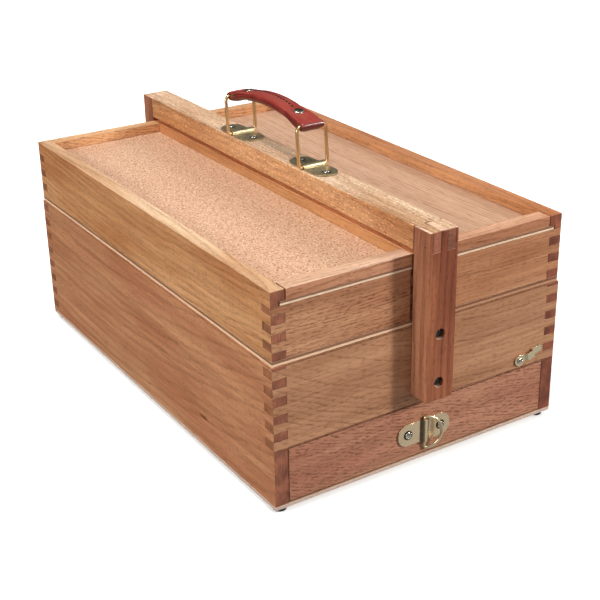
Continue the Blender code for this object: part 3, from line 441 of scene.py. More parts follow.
def hole_shade(place, face, inward):
    """Painted shade in and around a leg's two screw holes."""
    hole_shades = []
    for word in ("lower", "upper"):
        low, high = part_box("leg_screw_" + place + "_" + word)
        spot = ((low.x + high.x) / 2.0, face + inward * HOLE_SHADE_DEPTH, (low.z + high.z) / 2.0)
        hole_shades.append((spot, HOLE_SHADE_SIZE, 0.80))
    return hole_shades


# The leg's marks: a brad's head and the painted shade of its screw holes.
leg_marks = [brad] + hole_shade("front", leg_low.y, 1.0) + hole_shade("back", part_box("back_leg")[1].y, -1.0)

# Seams of painted shade: lines, width and strength. Rings: spacing, centre, wave, strength and what is left
# in the gaps.
# Painted shade along the top edge of the side and front boards, under the tray floors.
top_edge_shade = ((("Z", side_high.z),), 0.0012, 0.60)
side_tones = tone(212, 152, 109), tone(194, 128, 89)
end_tones = tone(201, 147, 109), tone(179, 126, 89)
inner_tones = tone(216, 172, 126), tone(198, 150, 104)
INNER_LOOK = {"rings": (0.0065, (0.0, 0.90), 0.006, 0.22, 0.5), "flecks": FAINT_DASHES, "streak": 0.24,
              "roughness": 0.55}

side_wood = beech("beech_side_left", "YZX", *side_tones, END_DARK, 3.1,
                  rings=(0.0085, (0.10, side_high.z + 1.20), 0.012, 0.26, 0.6),
                  flecks=FAINT_DASHES, streak=0.24, marks=(knot,), seam=top_edge_shade)
side_wood_right = beech("beech_side_right", "YZX", *side_tones, END_RIGHT, 5.7,
                        rings=(0.0085, (-0.05, side_high.z + 1.20), 0.012, 0.26, 0.6),
                        flecks=FAINT_DASHES, streak=0.24, seam=top_edge_shade)
front_wood = beech("beech_front", "XZY", *end_tones, END_WARM, 1.3,
                   rings=(0.0044, (0.095, front_top + 0.40), 0.010, 0.32, 0.20),
                   flecks=FAINT_DASHES, streak=0.24, seam=top_edge_shade)
back_wood = beech("beech_back", "XZY", *end_tones, END_WARM, 2.9,
                  rings=(0.0044, (-0.060, front_top + 0.36), 0.010, 0.32, 0.20),
                  flecks=FAINT_DASHES, streak=0.24)
drawer_low, drawer_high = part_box("drawer_front")
# Painted shade in the joints around the drawer front.
drawer_joint_shade = ((("X", drawer_low.x), ("X", drawer_high.x), ("Z", drawer_low.z), ("Z", drawer_high.z)),
                0.0013, 0.75)
drawer_wood = beech("beech_drawer_front", "XZY", tone(199, 141, 109), tone(179, 116, 89), END_WARM, 7.3,
                    rings=(0.0028, (0.45, 1.60), 0.009, 0.55, 0.0), flecks=DASHES, streak=0.24,
                    seam=drawer_joint_shade)
# The side tint is painted light: paler, bluer sides on the leg, which lie in shade.
leg_wood = beech("beech_leg", "ZXY", tone(177, 107, 71), tone(144, 78, 51), END_PALE, 4.4,
                 rings=(0.0065, (0.12, 1.00), 0.006, 0.34, 0.6), flecks=FAINT_DASHES, streak=0.34,
                 side=(1.06, 1.35, 1.65, 1.0), marks=leg_marks)
# The side tint is painted shade: darker, redder sides on the bar than on its top.
bar_wood = beech("beech_bar", "YXZ", tone(217, 184, 152), tone(192, 147, 109), END_DARK, 6.2,
                 rings=(0.0040, (0.0, 3.00), 0.005, 0.26, 0.4), flecks=MOTTLE, streak=0.34, marks=smudges,
                 side=(0.95, 0.76, 0.57, 1.0))
# The side tint is painted light: a paler top on the outer wall's rim.
left_wall = beech("beech_wall_left", "YZX", tone(224, 167, 116), tone(198, 132, 82), END_DARK, 8.8,
                  rings=(0.0060, (0.0, 2.00), 0.008, 0.28, 0.5), flecks=FAINT_DASHES, streak=0.26,
                  side=(1.06, 1.42, 1.95, 1.0))
# The side tint is painted light: a paler top on the inner wall, which lies in the bar's shadow.
inner_wall = beech("beech_wall_inner", "YZX", tone(200, 145, 96), tone(178, 116, 71), END_DARK, 21.4,
                   rings=(0.0050, (0.0, 2.00), 0.008, 0.28, 0.4), flecks=FAINT_DASHES, streak=0.26,
                   side=(1.70, 1.60, 1.75, 1.0))
# The side tint is painted shade: a darker top on the right outer wall.
right_wall = beech("beech_wall_right", "YZX", tone(218, 160, 112), tone(196, 132, 85), END_RIGHT, 23.7,
                   rings=(0.0055, (0.0, 2.00), 0.008, 0.28, 0.4), flecks=FAINT_DASHES, streak=0.26,
                   side=(0.78, 0.68, 0.66, 1.0))
# Painted shadow on the tray fronts beside the leg's two sides.
leg_side_shadow = ((("X", leg_low.x), ("X", leg_high.x)), 0.0018, 0.70)
end_wood = beech("beech_tray_end", "XZY", tone(201, 145, 106), tone(177, 116, 81), END_WARM, 9.6,
                 rings=(0.0029, (-0.10, tray_top + 0.90), 0.008, 0.50, 0.05),
                 flecks=DASHES, streak=0.30, seam=leg_side_shadow)
right_end_wood = beech("beech_tray_end_right", "XZY", tone(205, 147, 106), tone(183, 121, 82), END_WARM, 31.8,
                       rings=(0.0029, (0.10, tray_top + 1.40), 0.006, 0.34, 0.15),
                       flecks=FAINT_DASHES, streak=0.26, seam=leg_side_shadow)
# A paler copy of the tray end wood: painted light on the back walls' inner faces, which lie in shade.
far_end_wood_lit = beech("beech_tray_far_end_lit", "XZY", tone(226, 175, 127), tone(207, 147, 101), END_WARM, 25.2,
                     rings=(0.0032, (0.10, tray_top + 0.70), 0.008, 0.45, 0.2),
                     flecks=DASHES, streak=0.20)
# The side tint is painted shade: darker front and back faces on the strip.
left_strip = beech("beech_strip_left", "XYZ", tone(236, 197, 170), tone(218, 173, 140), END_WARM, 11.2,
                   rings=(0.0040, (0.0, 1.20), 0.006, 0.36, 0.3), flecks=FAINT_DASHES, streak=0.26,
                   side=(0.78, 0.55, 0.42, 1.0))
# The side tint is painted shade: darker front and back faces on the strip.
right_strip = beech("beech_strip_right", "XYZ", tone(216, 168, 134), tone(198, 142, 110), END_WARM, 26.6,
                    rings=(0.0036, (0.0, 1.20), 0.006, 0.36, 0.3), flecks=FAINT_DASHES, streak=0.26,
                    side=(0.83, 0.66, 0.54, 1.0))
inner_wood = beech("inner_wood", "YZX", *inner_tones, END_WARM, 12.7, **INNER_LOOK)
cross_wood = beech("inner_wood_cross", "XZY", *inner_tones, END_WARM, 13.9, **INNER_LOOK)

BASE_EDGES = (tone(223, 196, 179), tone(214, 183, 166))
TRAY_EDGES = (tone(255, 218, 182), tone(248, 206, 166))
PLY_EDGES = (tone(233, 196, 171), tone(215, 173, 144))
# Lid edges made paler with painted light, because they lie in the shadow of the lid strips.
LID_EDGES_LIT = (tone(255, 226, 192), tone(250, 214, 178))
RIGHT_EDGES = (tone(206, 158, 124), tone(190, 138, 102))
RIGHT_LINES = (0.0040, (0.0, 3.00), 0.0030, 0.30, 0.45)
# How much painted shade darkens the upper part of the lid and tray floor edges.
LIP_PAINTED_SHADE = 0.90

pink = tone(216, 172, 140), tone(202, 152, 118)
beige = tone(204, 163, 133), tone(190, 146, 115)
cream = tone(226, 194, 154), tone(212, 176, 132)
wooden = {
    "side_board_left": side_wood, "side_board_right": side_wood_right,
    "front_board": front_wood, "back_board": back_wood,
    "base_panel": plywood("base_panel", *cream, 14.1, BASE_EDGES),
    "compartment_floor": plywood("compartment_floor", *cream, 15.3, PLY_EDGES),
    "carry_bar": bar_wood, "front_leg": leg_wood, "back_leg": leg_wood,
    "drawer_front": drawer_wood, "drawer_back": cross_wood,
    "drawer_side_left": inner_wood, "drawer_side_right": inner_wood,
    "drawer_floor": plywood("drawer_floor", *cream, 16.9, PLY_EDGES),
    "lid_left": plywood("lid_left", *pink, 17.7, LID_EDGES_LIT, LID_FLECKS, streak=0.02, lip_shade=LIP_PAINTED_SHADE),
    "lid_right": plywood("lid_right", *beige, 18.3, LID_EDGES_LIT, RIGHT_FLECKS, rings=RIGHT_LINES, lip_shade=LIP_PAINTED_SHADE),
}
for word, outer, front, strip, edges in (("left", left_wall, end_wood, left_strip, TRAY_EDGES),
                                         ("right", right_wall, right_end_wood, right_strip, RIGHT_EDGES)):
    tray = "tray_" + word + "_"
    wooden.update({
        tray + "outer_wall": outer, tray + "inner_wall": inner_wall,
        tray + "front_wall": front, tray + "back_wall": far_end_wood_lit,
        tray + "floor": plywood(tray + "floor", *cream, 19.1, edges, lip_shade=LIP_PAINTED_SHADE),
        tray + "lid_ledge": inner_wood, "lid_" + word + "_strip": strip,
        tray + "runner_front": cross_wood, tray + "runner_back": cross_wood,
    })

# ---------------------------------------------------------------- materials of the other pieces
RING_WIRE = 0.0013                  # radius
ring_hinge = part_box("pull_ring")[0].x + RING_WIRE
SMOOTH_WIRE = {"tarnish": 0.4, "scratch": 0.0, "edge_lift": 0.0, "grain": 90.0, "relief": 0.0}

gold_wire = metal("gold_wire", tone(240, 202, 146), tone(216, 174, 118), 0.28, **SMOOTH_WIRE)
ring_wire = metal("ring_wire", tone(234, 216, 176), tone(208, 186, 142), 0.30, **SMOOTH_WIRE)
# Pale brass for the pull plate, with painted shade beside the ring's hinge.
pale_brass = metal("pale_brass", tone(238, 213, 175), tone(196, 170, 131), 0.22,
                   tarnish=0.18, scratch=0.10, metallic=0.85, relief=0.08, flanks=ring_hinge)
button_brass = metal("button_brass", tone(240, 224, 186), tone(204, 186, 146), 0.26,
                     tarnish=0.25, scratch=0.10, metallic=0.80, relief=0.08)
antique = metal("antique_brass", tone(195, 180, 144), tone(115, 105, 77), 0.32, tarnish=0.55, metallic=0.85)
dark_antique = metal("dark_antique", tone(120, 112, 92), tone(62, 56, 44), 0.26, tarnish=0.5)
steel = metal("steel", tone(222, 216, 202), tone(136, 128, 112), 0.10,
              tarnish=0.4, scratch=0.08, metallic=0.95, relief=0.1)
dark_steel = metal("dark_steel", tone(92, 94, 96), tone(28, 26, 26), 0.28, tarnish=0.7)
# A dark ring of painted shade for the countersinks around screw heads.
countersink_shade = metal("countersink_shade", tone(64, 56, 44), tone(32, 27, 21), 0.34, tarnish=0.6)
oxblood = leather("oxblood_leather", tone(158, 54, 44), tone(120, 35, 27), tone(190, 84, 66))
thread = plain("dark_thread", tone(46, 12, 14), tone(26, 7, 9), 0.7, 900.0)
rubber = plain("dark_rubber", tone(38, 37, 36), tone(24, 23, 23), 0.62, 400.0)


def dress(material, *names):
    """Gives CAD nodes that stay in sight their material."""
    for name in names:
        data = nodes[name].data
        data.materials.clear()
        data.materials.append(material)


for node, material in wooden.items():
    dress(material, node)
dress(antique, "handle_plate_front", "handle_plate_back")
dress(pale_brass, "pull_plate")
dress(button_brass, "turn_button")


# ---------------------------------------------------------------- mesh helpers
WIRE_SIDES = 20


def circle(steps):
    """The angles of evenly spaced points around a circle."""
    return [2.0 * math.pi * step / steps for step in range(steps)]


def finish_mesh(name, bm, material, smooth=True):
    """Turns the bmesh into an object of the scene."""
    bmesh.ops.recalc_face_normals(bm, faces=bm.faces)
    mesh = bpy.data.meshes.new(name)
    bm.to_mesh(mesh)
    bm.free()
    obj = bpy.data.objects.new(name, mesh)
    bpy.context.scene.collection.objects.link(obj)
    mesh.materials.append(material)
    for polygon in mesh.polygons:
        polygon.use_smooth = smooth
    return obj


def skin(bm, rings, closed=False):
    """Quads between neighbouring rings of vertices."""
    pairs = list(zip(rings, rings[1:]))
    if closed:
        pairs.append((rings[-1], rings[0]))
    for first, second in pairs:
        count = len(first)
        for index in range(count):
            after = (index + 1) % count
            bm.faces.new((first[index], first[after], second[after], second[index]))


def wire(name, path, radius, material):
    """A closed round wire along a flat path."""
    points = [Vector(point) for point in path]
    count = len(points)
    middle = sum(points, Vector()) / count
    flat = (points[0] - middle).cross(points[count // 4] - middle).normalized()
    bm = bmesh.new()
    rings = []
    for index, point in enumerate(points):
        ahead = (points[(index + 1) % count] - points[index - 1]).normalized()
        out = ahead.cross(flat)
        rings.append([bm.verts.new(point + radius * (math.cos(angle) * out + math.sin(angle) * flat))
                      for angle in circle(WIRE_SIDES)])
    skin(bm, rings, closed=True)
    return finish_mesh(name, bm, material)


def lathe(name, profile, material, spot, direction, steps=48):
    """A closed solid of revolution. The profile runs from the axis at the top to the axis at the bottom."""
    bm = bmesh.new()
    turn = Vector((0.0, 0.0, 1.0)).rotation_difference(Vector(direction).normalized()).to_matrix()

    def point(radius, height, angle):
        return turn @ Vector((radius * math.cos(angle), radius * math.sin(angle), height)) + Vector(spot)

    top = bm.verts.new(point(0.0, profile[0][1], 0.0))
    bottom = bm.verts.new(point(0.0, profile[-1][1], 0.0))
    rings = [[bm.verts.new(point(radius, height, angle)) for angle in circle(steps)]
             for radius, height in profile[1:-1]]
    skin(bm, rings)
    for index in range(steps):
        after = (index + 1) % steps
        bm.faces.new((top, rings[0][index], rings[0][after]))
        bm.faces.new((bottom, rings[-1][after], rings[-1][index]))
    return finish_mesh(name, bm, material)


def carve(obj, cutters):
    """Cuts the cutters out of a new piece and removes them."""
    for cutter in cutters:
        cut = obj.modifiers.new("cut", "BOOLEAN")
        cut.operation = "DIFFERENCE"
        cut.solver = "EXACT"
        cut.object = cutter
    bpy.context.view_layer.update()
    evaluated = obj.evaluated_get(bpy.context.evaluated_depsgraph_get())
    mesh = bpy.data.meshes.new_from_object(evaluated)
    obj.modifiers.clear()
    obj.data = mesh
    for cutter in cutters:
        bpy.data.objects.remove(cutter)


def arc_points(centre, radius, start, end, steps):
    """Points of an arc in a plane, angles in degrees."""
    angles = [math.radians(start + (end - start) * index / steps) for index in range(steps + 1)]
    return [(centre[0] + radius * math.cos(angle), centre[1] + radius * math.sin(angle)) for angle in angles]


def settle(obj, body, slot, *replaced):
    """Ties a new piece to its body, in place of the CAD nodes that it replaces. slot is not used."""
    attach(obj, body)
    if replaced:
        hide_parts(*replaced)


# ---------------------------------------------------------------- handle bails and drawer ring
BAIL_WIRE = 0.0015                  # radius
BAIL_CORNER = 0.0030
BAIL_SHOULDER = 0.0045
RING_CORNER = 0.0020


def bail(node):
    """A tall rounded rectangle of wire that leans from its hinge to its top bar."""
    low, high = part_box(node)
    foot = Vector((0.0, low.y + BAIL_WIRE, low.z + BAIL_WIRE))
    head = Vector((0.0, high.y - BAIL_WIRE, high.z - BAIL_WIRE))
    rise = (head - foot).normalized()
    tall = (head - foot).length
    half = high.x - BAIL_WIRE
    path = []
    for x, z, start in ((1, 0, 270), (1, 1, 0), (-1, 1, 90), (-1, 0, 180)):
        bend = BAIL_SHOULDER if z else BAIL_CORNER
        centre = (x * (half - bend), tall - bend if z else bend)
        arc = arc_points(centre, bend, start, start + 90, 10)
        path += [foot + Vector((u, 0.0, 0.0)) + rise * v for u, v in arc]
    settle(wire(node + "_wire", path, BAIL_WIRE, gold_wire), node, "brass", node)


for node in ("front_bail", "back_bail"):
    bail(node)


def drawer_ring():
    """The D-shaped ring: a straight hinged side with a round bow."""
    low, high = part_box("pull_ring")
    pivot = Vector((low.x + RING_WIRE, high.y - RING_WIRE, (low.z + high.z) / 2.0))
    tip = Vector((high.x - RING_WIRE, low.y + RING_WIRE, pivot.z))
    out = (tip - pivot).normalized()
    reach = (tip - pivot).length
    half = (high.z - low.z) / 2.0 - RING_WIRE
    straight = half - RING_CORNER
    flat = [(0.0, straight * (index / 3.0 - 1.0)) for index in range(6)]
    flat += arc_points((RING_CORNER, straight), RING_CORNER, 180, 90, 6)
    bow = reach - RING_CORNER
    flat += [(RING_CORNER + bow * math.cos(angle), half * math.sin(angle))
             for angle in (math.radians(90.0 - 5.0 * index) for index in range(1, 36))]
    flat += arc_points((RING_CORNER, -straight), RING_CORNER, 270, 180, 6)[:-1]
    path = [pivot + out * u + Vector((0.0, 0.0, v)) for u, v in flat]
    settle(wire("pull_ring_wire", path, RING_WIRE, ring_wire), "pull_ring", "brass", "pull_ring")


drawer_ring()


# ---------------------------------------------------------------- leather grip
BAIL_Y = 0.0604                     # from the grip's middle to a bail's top bar
GRIP_END_R = 0.0040
GRIP_END_HALF = 0.0113
GRIP_MID_HALF = 0.0107
GRIP_END_SQUARE = 5.5               # the outline's power: 2 is an ellipse, more is squarer
GRIP_MID_SQUARE = 2.3
GRIP_RISE = 0.0080
GRIP_UPPER = (0.0031, 0.0019)       # thickness of each half near the ends, and what the middle adds
GRIP_LOWER = (0.0042, 0.0010)
GRIP_SAG = 0.0012                   # the strap sags where it turns around a bail
GRIP_SAG_AT = 0.008
GRIP_SAG_REACH = 0.009
GRIP_TOP = 0.0134                   # from the ends' axis to the crown
EYE_R = 0.0019
EYE_FLARE = 0.0006
EYE_STRAIGHT = 0.0104               # the eye widens from here out to past the grip's sides
RIVET_Y = 0.0406
RIVET_R = 0.0040
FLAP_Y = 0.0338                     # where the folded-over ends of the strap stop
FLAP_T = 0.0007
SEAM_Y = 0.0200                     # the side seams between the two layers fade out here
SEAM_D = 0.0007
SEAM_WIDTH = 0.0006
STATIONS = 150
AROUND = 72
STITCHES = 15
STITCH_PITCH = 0.0044
STITCH_LENGTH = 0.0030
STITCH_R = 0.00075
STITCH_FLAT = 1.25                  # how much wider than thick
STITCH_STEPS = 10                   # along it, and around it

grip_low, grip_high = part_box("leather_grip")
grip_centre = Vector((0.0, (grip_low.y + grip_high.y) / 2.0, grip_high.z - GRIP_TOP))


def ease(value):
    """A smooth step from 0 to 1."""
    value = min(max(value, 0.0), 1.0)
    return value * value * (3.0 - 2.0 * value)


def grip_section(y):
    """Rise, upper and lower thickness, half width and squareness of the grip at y from its middle."""
    off = BAIL_Y - abs(y)
    neck = math.sqrt(max(GRIP_END_R ** 2 - off ** 2, 0.0))
    if off <= 0.0:
        return 0.0, neck, neck, GRIP_END_HALF, GRIP_END_SQUARE
    part = off / BAIL_Y
    rise = GRIP_RISE * math.sin(0.5 * math.pi * part)
    swell = ease((part - 0.30) / 0.40)
    upper = max(neck - 0.5 * rise, GRIP_UPPER[0] + GRIP_UPPER[1] * swell)
    sag = GRIP_SAG * math.exp(-((off - GRIP_SAG_AT) / GRIP_SAG_REACH) ** 2)
    lower = max(neck + 0.5 * rise, GRIP_LOWER[0] + GRIP_LOWER[1] * swell) + sag
    width = GRIP_END_HALF + (GRIP_MID_HALF - GRIP_END_HALF) * ease((part - 0.25) / 0.5)
    square = GRIP_END_SQUARE + (GRIP_MID_SQUARE - GRIP_END_SQUARE) * ease((part - 0.08) / 0.34)
    return rise, upper, lower, width, square


def grip_ring(y):
    """One closed ring of points around the grip, with the flap's step and the side seams."""
    rise, upper, lower, width, square = grip_section(y)
    flap = FLAP_T * ease((abs(y) - FLAP_Y) / 0.0010) * ease((BAIL_Y - abs(y)) / 0.008)
    seam = SEAM_D * ease((abs(y) - SEAM_Y) / 0.012) * ease((BAIL_Y - 0.001 - abs(y)) / 0.004)
    ring = []
    for step in range(AROUND):
        angle = 2.0 * math.pi * (step + 0.5) / AROUND
        c, s = math.cos(angle), math.sin(angle)
        u = math.copysign(abs(c) ** (2.0 / square), c) * width
        v = math.copysign(abs(s) ** (2.0 / square), s) * (upper if s > 0.0 else lower)
        middle = 0.35 * upper
        u -= math.copysign(seam * math.exp(-((v - middle) / SEAM_WIDTH) ** 2), u)
        if s > 0.0:
            v += flap * min(abs(s) * 1.6, 1.0)
        ring.append(grip_centre + Vector((u, y, v + rise)))
    return ring


def leather_grip():
    """The folded and stitched strap: thick in the middle, flat at its ends, with an eye for each bail."""
    last = BAIL_Y + GRIP_END_R - 0.00004        # just short of the very end, where the ring would be a line
    turns = [0.5 * math.pi * (2.0 * index / STATIONS - 1.0) for index in range(STATIONS + 1)]
    bm = bmesh.new()
    rings = [[bm.verts.new(point) for point in grip_ring(last * math.sin(turn))] for turn in turns]
    skin(bm, rings)
    bm.faces.new(rings[0])
    bm.faces.new(list(reversed(rings[-1])))
    grip = finish_mesh("grip_leather", bm, oxblood)
    past = GRIP_END_HALF + 0.0027
    flare = [(0.0, past), (EYE_R + 2.0 * EYE_FLARE, past), (EYE_R + EYE_FLARE, GRIP_END_HALF),
             (EYE_R, EYE_STRAIGHT)]
    flare += [(radius, -height) for radius, height in reversed(flare)]
    cutters = []
    for end in (-1.0, 1.0):
        spot = grip_centre + Vector((0.0, end * BAIL_Y, 0.0))
        cutters.append(lathe("eye", flare, oxblood, spot, (1.0, 0.0, 0.0), steps=32))
    carve(grip, cutters)
    for polygon in grip.data.polygons:
        polygon.use_smooth = True
    settle(grip, "grip", "leather", "leather_grip")


leather_grip()


def stitches():
    """Waxed thread stitches in a row along the crown, each one pulled into the leather."""
    bm = bmesh.new()
    outline = [Vector((STITCH_FLAT * math.cos(angle), 0.0, math.sin(angle)))
               for angle in circle(STITCH_STEPS)]
    for index in range(STITCHES):
        middle = (index - (STITCHES - 1) / 2.0) * STITCH_PITCH
        rings = []
        for step in range(1, STITCH_STEPS):
            part = 2.0 * step / STITCH_STEPS - 1.0
            y = middle + part * STITCH_LENGTH / 2.0
            rise, upper, _, _, _ = grip_section(y)
            thick = STITCH_R * math.sqrt(1.0 - part * part)
            level = min(rise + upper + STITCH_R * (0.10 - 0.45 * part * part), GRIP_TOP - thick)
            centre = grip_centre + Vector((0.0, y, level))
            rings.append([bm.verts.new(centre + thick * point) for point in outline])
        skin(bm, rings)
        bm.faces.new(rings[0])
        bm.faces.new(list(reversed(rings[-1])))
    settle(finish_mesh("grip_stitches", bm, thread), "grip", "leather")


stitches()


CAP_LIFT = 0.0010                   # from the strap to the rim of the rivet's cap
CAP_DOME = 0.0008
SHANK_R = 0.0014
TAIL_R = 0.0028
WASHER_T = 0.0008
WASHER_R = RIVET_R + 0.0010


def rivet(place, end):
    """A domed cap over a washer on top of the strap, with a flared tail below it."""
    rise, upper, lower, _, _ = grip_section(RIVET_Y)
    slope = GRIP_RISE * 0.5 * math.pi / BAIL_Y * math.cos(0.5 * math.pi * (1.0 - RIVET_Y / BAIL_Y))
    lean = math.atan(slope)
    along = (0.0, end * math.sin(lean), math.cos(lean))
    spot = grip_centre + Vector((0.0, end * RIVET_Y, rise))
    rim = upper + CAP_LIFT
    profile = [(0.0, rim + 0.0004 + CAP_DOME)]
    for index in range(1, 7):
        angle = math.radians(90.0 - 13.0 * index)
        profile.append((0.88 * RIVET_R * math.cos(angle), rim + 0.0004 + CAP_DOME * math.sin(angle)))
    profile += [(0.90 * RIVET_R, rim + 0.0002), (0.90 * RIVET_R, rim - 0.0002)]
    profile += [(0.84 * RIVET_R, rim - 0.0004), (SHANK_R, rim - 0.0005), (SHANK_R, -lower - 0.0003)]
    profile += [(TAIL_R - 0.0002, -lower - 0.0004), (TAIL_R, -lower - 0.0006)]
    profile += [(TAIL_R - 0.0002, -lower - 0.0009), (0.0, -lower - 0.0009)]
    name = "rivet_" + place
    settle(lathe(name + "_cap", profile, dark_antique, spot, along), "grip", "antique_brass", name)
    seat = upper + FLAP_T
    washer = [(0.0, seat + WASHER_T), (WASHER_R - 0.0016, seat + WASHER_T)]
    washer += [(WASHER_R - 0.0009, seat + 0.0007), (WASHER_R - 0.0002, seat + 0.0002)]
    washer += [(WASHER_R, seat - 0.0001), (0.0, seat - 0.0004)]
    settle(lathe(name + "_washer", washer, steel, spot, along), "grip", "antique_brass")


rivet("front", -1.0)
rivet("back", 1.0)


# ---------------------------------------------------------------- screws and feet
# Screws: radius of the head, radius of the shank, height of the dome and radius of the dark ring of painted
# countersink shade, if any.
HANDLE_SCREW = (0.0033, 0.0015, 0.0013, 0.0040)
LEG_SCREW = (0.0041, 0.0018, 0.0026, None)
PULL_SCREW = (0.0031, 0.0015, 0.0014, 0.0041)
LATCH_SCREW = (0.0028, 0.0014, 0.0014, None)
SCREW_RIM = 0.0003                  # the straight rim below the dome
SLOT_WIDTH = 0.00080
SLOT_DEPTH = 0.0012                 # half of it is above the crown
SHADE_RING_RISE = 0.00022                  # how far the dark ring of painted shade stands up
SHADE_RING_FOOT = 0.00002
TREAD_R = 0.0009
FOOT_TAPER = 0.90
FOOT_HOLE_R = 0.0028


def slot_cutter(top, direction, turn, length):
    """A thin bar that cuts a screwdriver slot."""
    bm = bmesh.new()
    bmesh.ops.create_cube(bm, size=1.0)
    turned = Vector((0.0, 0.0, 1.0)).rotation_difference(direction).to_matrix().to_4x4()
    size = Matrix.Diagonal((length, SLOT_WIDTH, SLOT_DEPTH, 1.0))
    place = Matrix.Translation(top) @ turned @ Matrix.Rotation(turn, 4, "Z") @ size
    bmesh.ops.transform(bm, matrix=place, verts=bm.verts)
    return finish_mesh("slot_cutter", bm, steel, smooth=False)


def screw(node, body, axis, kind, material, slot, turn):
    """An oval-head slotted screw in place of a CAD screw, its slot turned by turn, and a dark ring of painted
    countersink shade around it.
    """
    low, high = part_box(node)
    direction = Vector(axis)
    head_radius, shank_radius, dome, shade_ring = kind
    tip, crown = (low, high) if sum(direction) > 0.0 else (high, low)
    length = abs(direction.dot(crown - tip))
    top = (low + high) / 2.0 + direction * (length / 2.0)
    profile = [(0.0, 0.0)]
    for index in range(1, 9):
        angle = math.radians(90.0 - 90.0 * index / 8.0)
        profile.append((head_radius * math.cos(angle), (dome - SCREW_RIM) * (math.sin(angle) - 1.0)))
    profile += [(head_radius, -dome), (shank_radius, -dome - 0.0001)]
    profile += [(shank_radius, shank_radius - length), (0.0, -length)]
    head = lathe(node + "_round", profile, material, top, direction)
    carve(head, [slot_cutter(top, direction, turn, 2.4 * head_radius)])
    settle(head, body, slot, node)
    # A dark ring around the head: painted shade of the countersink.
    if shade_ring:
        ring = [(0.0, SHADE_RING_RISE), (head_radius + 0.0001, SHADE_RING_RISE), (shade_ring - 0.0003, SHADE_RING_RISE),
                (shade_ring, SHADE_RING_RISE - 0.0001), (shade_ring, SHADE_RING_FOOT), (0.0, SHADE_RING_FOOT)]
        settle(lathe(node + "_cup", ring, countersink_shade, top - direction * dome, direction), body, slot)


def rubber_foot(node):
    """A turned rubber foot with a rounded tread."""
    low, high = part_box(node)
    radius = (high.x - low.x) / 2.0
    tall = high.z - low.z
    tread = radius * FOOT_TAPER
    profile = [(0.0, tall), (radius * 0.97, tall), (radius, tall - 0.0004), (tread, TREAD_R)]
    profile += arc_points((tread - TREAD_R, TREAD_R), TREAD_R, -18, -90, 4)
    profile += [(FOOT_HOLE_R, 0.0), (FOOT_HOLE_R - 0.0004, 0.0010), (0.0, 0.0010)]
    spot = Vector(((low.x + high.x) / 2.0, (low.y + high.y) / 2.0, low.z))
    settle(lathe(node + "_turned", profile, rubber, spot, (0.0, 0.0, 1.0)), "case", "rubber", node)


for place, side in (("front", -1), ("back", 1)):
    for index, word in enumerate("ab"):
        screw("handle_screw_" + place + "_" + word, "case", (0, 0, 1), HANDLE_SCREW, steel, "steel",
              0.5 + 1.4 * index + side)
    for index, word in enumerate(("lower", "upper")):
        screw("leg_screw_" + place + "_" + word, "case", (0, side, 0), LEG_SCREW, dark_steel, "dark_steel",
              0.7 + index)
    for word in ("left", "right"):
        rubber_foot("foot_" + place + "_" + word)
for word in ("left", "right"):
    screw("pull_screw_" + word, "drawer", (0, -1, 0), PULL_SCREW, steel, "steel", 0.8)
screw("latch_screw", "case", (0, -1, 0), LATCH_SCREW, steel, "steel", 0.4)


# ---------------------------------------------------------------- floor, light, camera
WHITE = (1.0, 1.0, 1.0, 1.0)
PAPER = ((0.84, 0.84, 0.84, 1.0), (0.86, 0.86, 0.86, 1.0))
PAPER_GLOW = (0.30, 1.6, 0.42, 0.85)    # from this distance to that, from this strength to that
ROOM_REACH = 30.0
WALL_BASE = -0.2
WALL_TOP = 16.0
WORLD_TURN = math.radians(25.0)         # the bright side of the room, from straight in front


def backdrop(name, bm, shader):
    """A stage piece that the camera sees and that no bounced light comes from."""
    obj = finish_mesh(name, bm, shader.material, smooth=False)
    obj.visible_diffuse = False
    obj.visible_glossy = False
    return obj


def paper_floor():
    """A wide pale floor that takes the shadow and glows towards white away from the object."""
    bm = bmesh.new()
    bmesh.ops.create_grid(bm, x_segments=1, y_segments=1, size=ROOM_REACH)
    paper = Shader("paper", Roughness=0.9, Specular_IOR_Level=0.0, Emission_Color=WHITE)
    paper.output("Base Color", paper.mix(paper.noise(paper.place, scale=3.0), *PAPER))
    paper.output("Emission Strength", paper.ramp(paper.vector("LENGTH", paper.place), *PAPER_GLOW))
    backdrop("floor", bm, paper)


def white_wall():
    """A far round wall that keeps the background white in low views."""
    bm = bmesh.new()
    skin(bm, [[bm.verts.new((ROOM_REACH * math.cos(angle), ROOM_REACH * math.sin(angle), level))
               for angle in circle(64)] for level in (WALL_BASE, WALL_TOP)])
    glow = Shader("white_wall", Roughness=0.9, Emission_Color=WHITE, Emission_Strength=1.0)
    backdrop("white_wall", bm, glow).visible_shadow = False


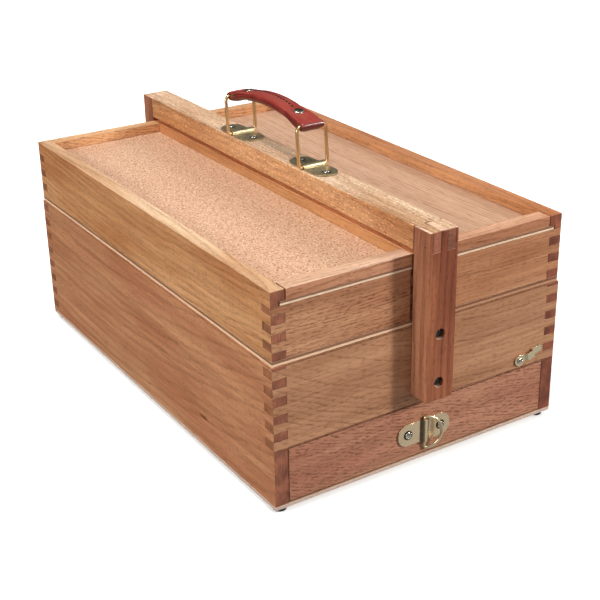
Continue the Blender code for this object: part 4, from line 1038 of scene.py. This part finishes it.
def studio(dim, bright, far, near):
    """A white room, dim at the horizon and beyond the object and bright at the front right, so that metal
    shows its shape."""
    world = bpy.data.worlds.new("studio")
    bpy.context.scene.world = world
    world.use_nodes = True
    tree = world.node_tree
    direction = tree.nodes.new("ShaderNodeTexCoord").outputs["Generated"]

    def smooth(value, low, high, start, end):
        step = tree.nodes.new("ShaderNodeMapRange")
        step.interpolation_type = "SMOOTHSTEP"
        for socket, number in zip(step.inputs[1:], (low, high, start, end)):
            socket.default_value = number
        tree.links.new(value, step.inputs[0])
        return step.outputs[0]

    def combine(operation, first, second=None):
        node = tree.nodes.new("ShaderNodeMath")
        node.operation = operation
        tree.links.new(first, node.inputs[0])
        if second:
            tree.links.new(second, node.inputs[1])
        return node.outputs[0]

    parts = tree.nodes.new("ShaderNodeSeparateXYZ")
    tree.links.new(direction, parts.inputs[0])
    toward = tree.nodes.new("ShaderNodeVectorMath")
    toward.operation = "DOT_PRODUCT"
    toward.inputs[1].default_value = (math.sin(WORLD_TURN), -math.cos(WORLD_TURN), 0.0)
    tree.links.new(direction, toward.inputs[0])
    height = smooth(combine("ABSOLUTE", parts.outputs["Z"]), 0.05, 0.75, dim, bright)
    side = smooth(toward.outputs["Value"], -0.45, 0.75, far, near)
    background = tree.nodes["Background"]
    background.inputs["Color"].default_value = WHITE
    tree.links.new(combine("MULTIPLY", height, side), background.inputs["Strength"])


paper_floor()
white_wall()
studio(dim=0.07, bright=0.40, far=0.40, near=1.55)
bpy.context.scene.view_settings.view_transform = "Standard"


def soft_light(name, place, target, size, power, shine=True):
    """A round area light. Without shine, it doesn't show in reflections."""
    data = bpy.data.lights.new(name, "AREA")
    data.shape = "DISK"
    data.size = size
    data.energy = power
    lamp = bpy.data.objects.new(name, data)
    lamp.location = place
    lamp.rotation_euler = (Vector(place) - Vector(target)).to_track_quat("Z", "Y").to_euler()
    lamp.visible_glossy = shine
    bpy.context.scene.collection.objects.link(lamp)


soft_light("overhead", (-0.45, 0.05, 2.40), (0.0, 0.0, 0.15), 0.60, 29.5)
soft_light("front_right", (1.45, -1.80, 1.05), (0.0, -0.10, 0.10), 0.45, 37.5)
soft_light("left_fill", (-2.20, -0.28, 1.00), (0.0, 0.0, 0.10), 1.00, 33.0)
soft_light("back_fill", (0.90, 2.20, 0.90), (0.0, 0.0, 0.10), 1.00, 22.0, shine=False)

CAMERA_AT = Vector((-0.54515, -0.9034, 0.5469))
CAMERA_TURN = math.radians(-32.162)
CAMERA_RISE = math.radians(24.615)
CAMERA_ROLL = math.radians(-1.015)
camera = bpy.data.cameras.new("camera")
camera.sensor_width = 36.0
camera.lens = 73.893
back = Vector((math.sin(CAMERA_TURN) * math.cos(CAMERA_RISE),
               -math.cos(CAMERA_TURN) * math.cos(CAMERA_RISE), math.sin(CAMERA_RISE)))
right = (-back).cross(Vector((0.0, 0.0, 1.0))).normalized()
up = back.cross(right)
view = bpy.data.objects.new("camera", camera)
upright = Matrix((right, up, back)).transposed().to_4x4()
view.matrix_world = Matrix.Translation(CAMERA_AT) @ upright @ Matrix.Rotation(CAMERA_ROLL, 4, "Z")
bpy.context.scene.collection.objects.link(view)
bpy.context.scene.camera = view
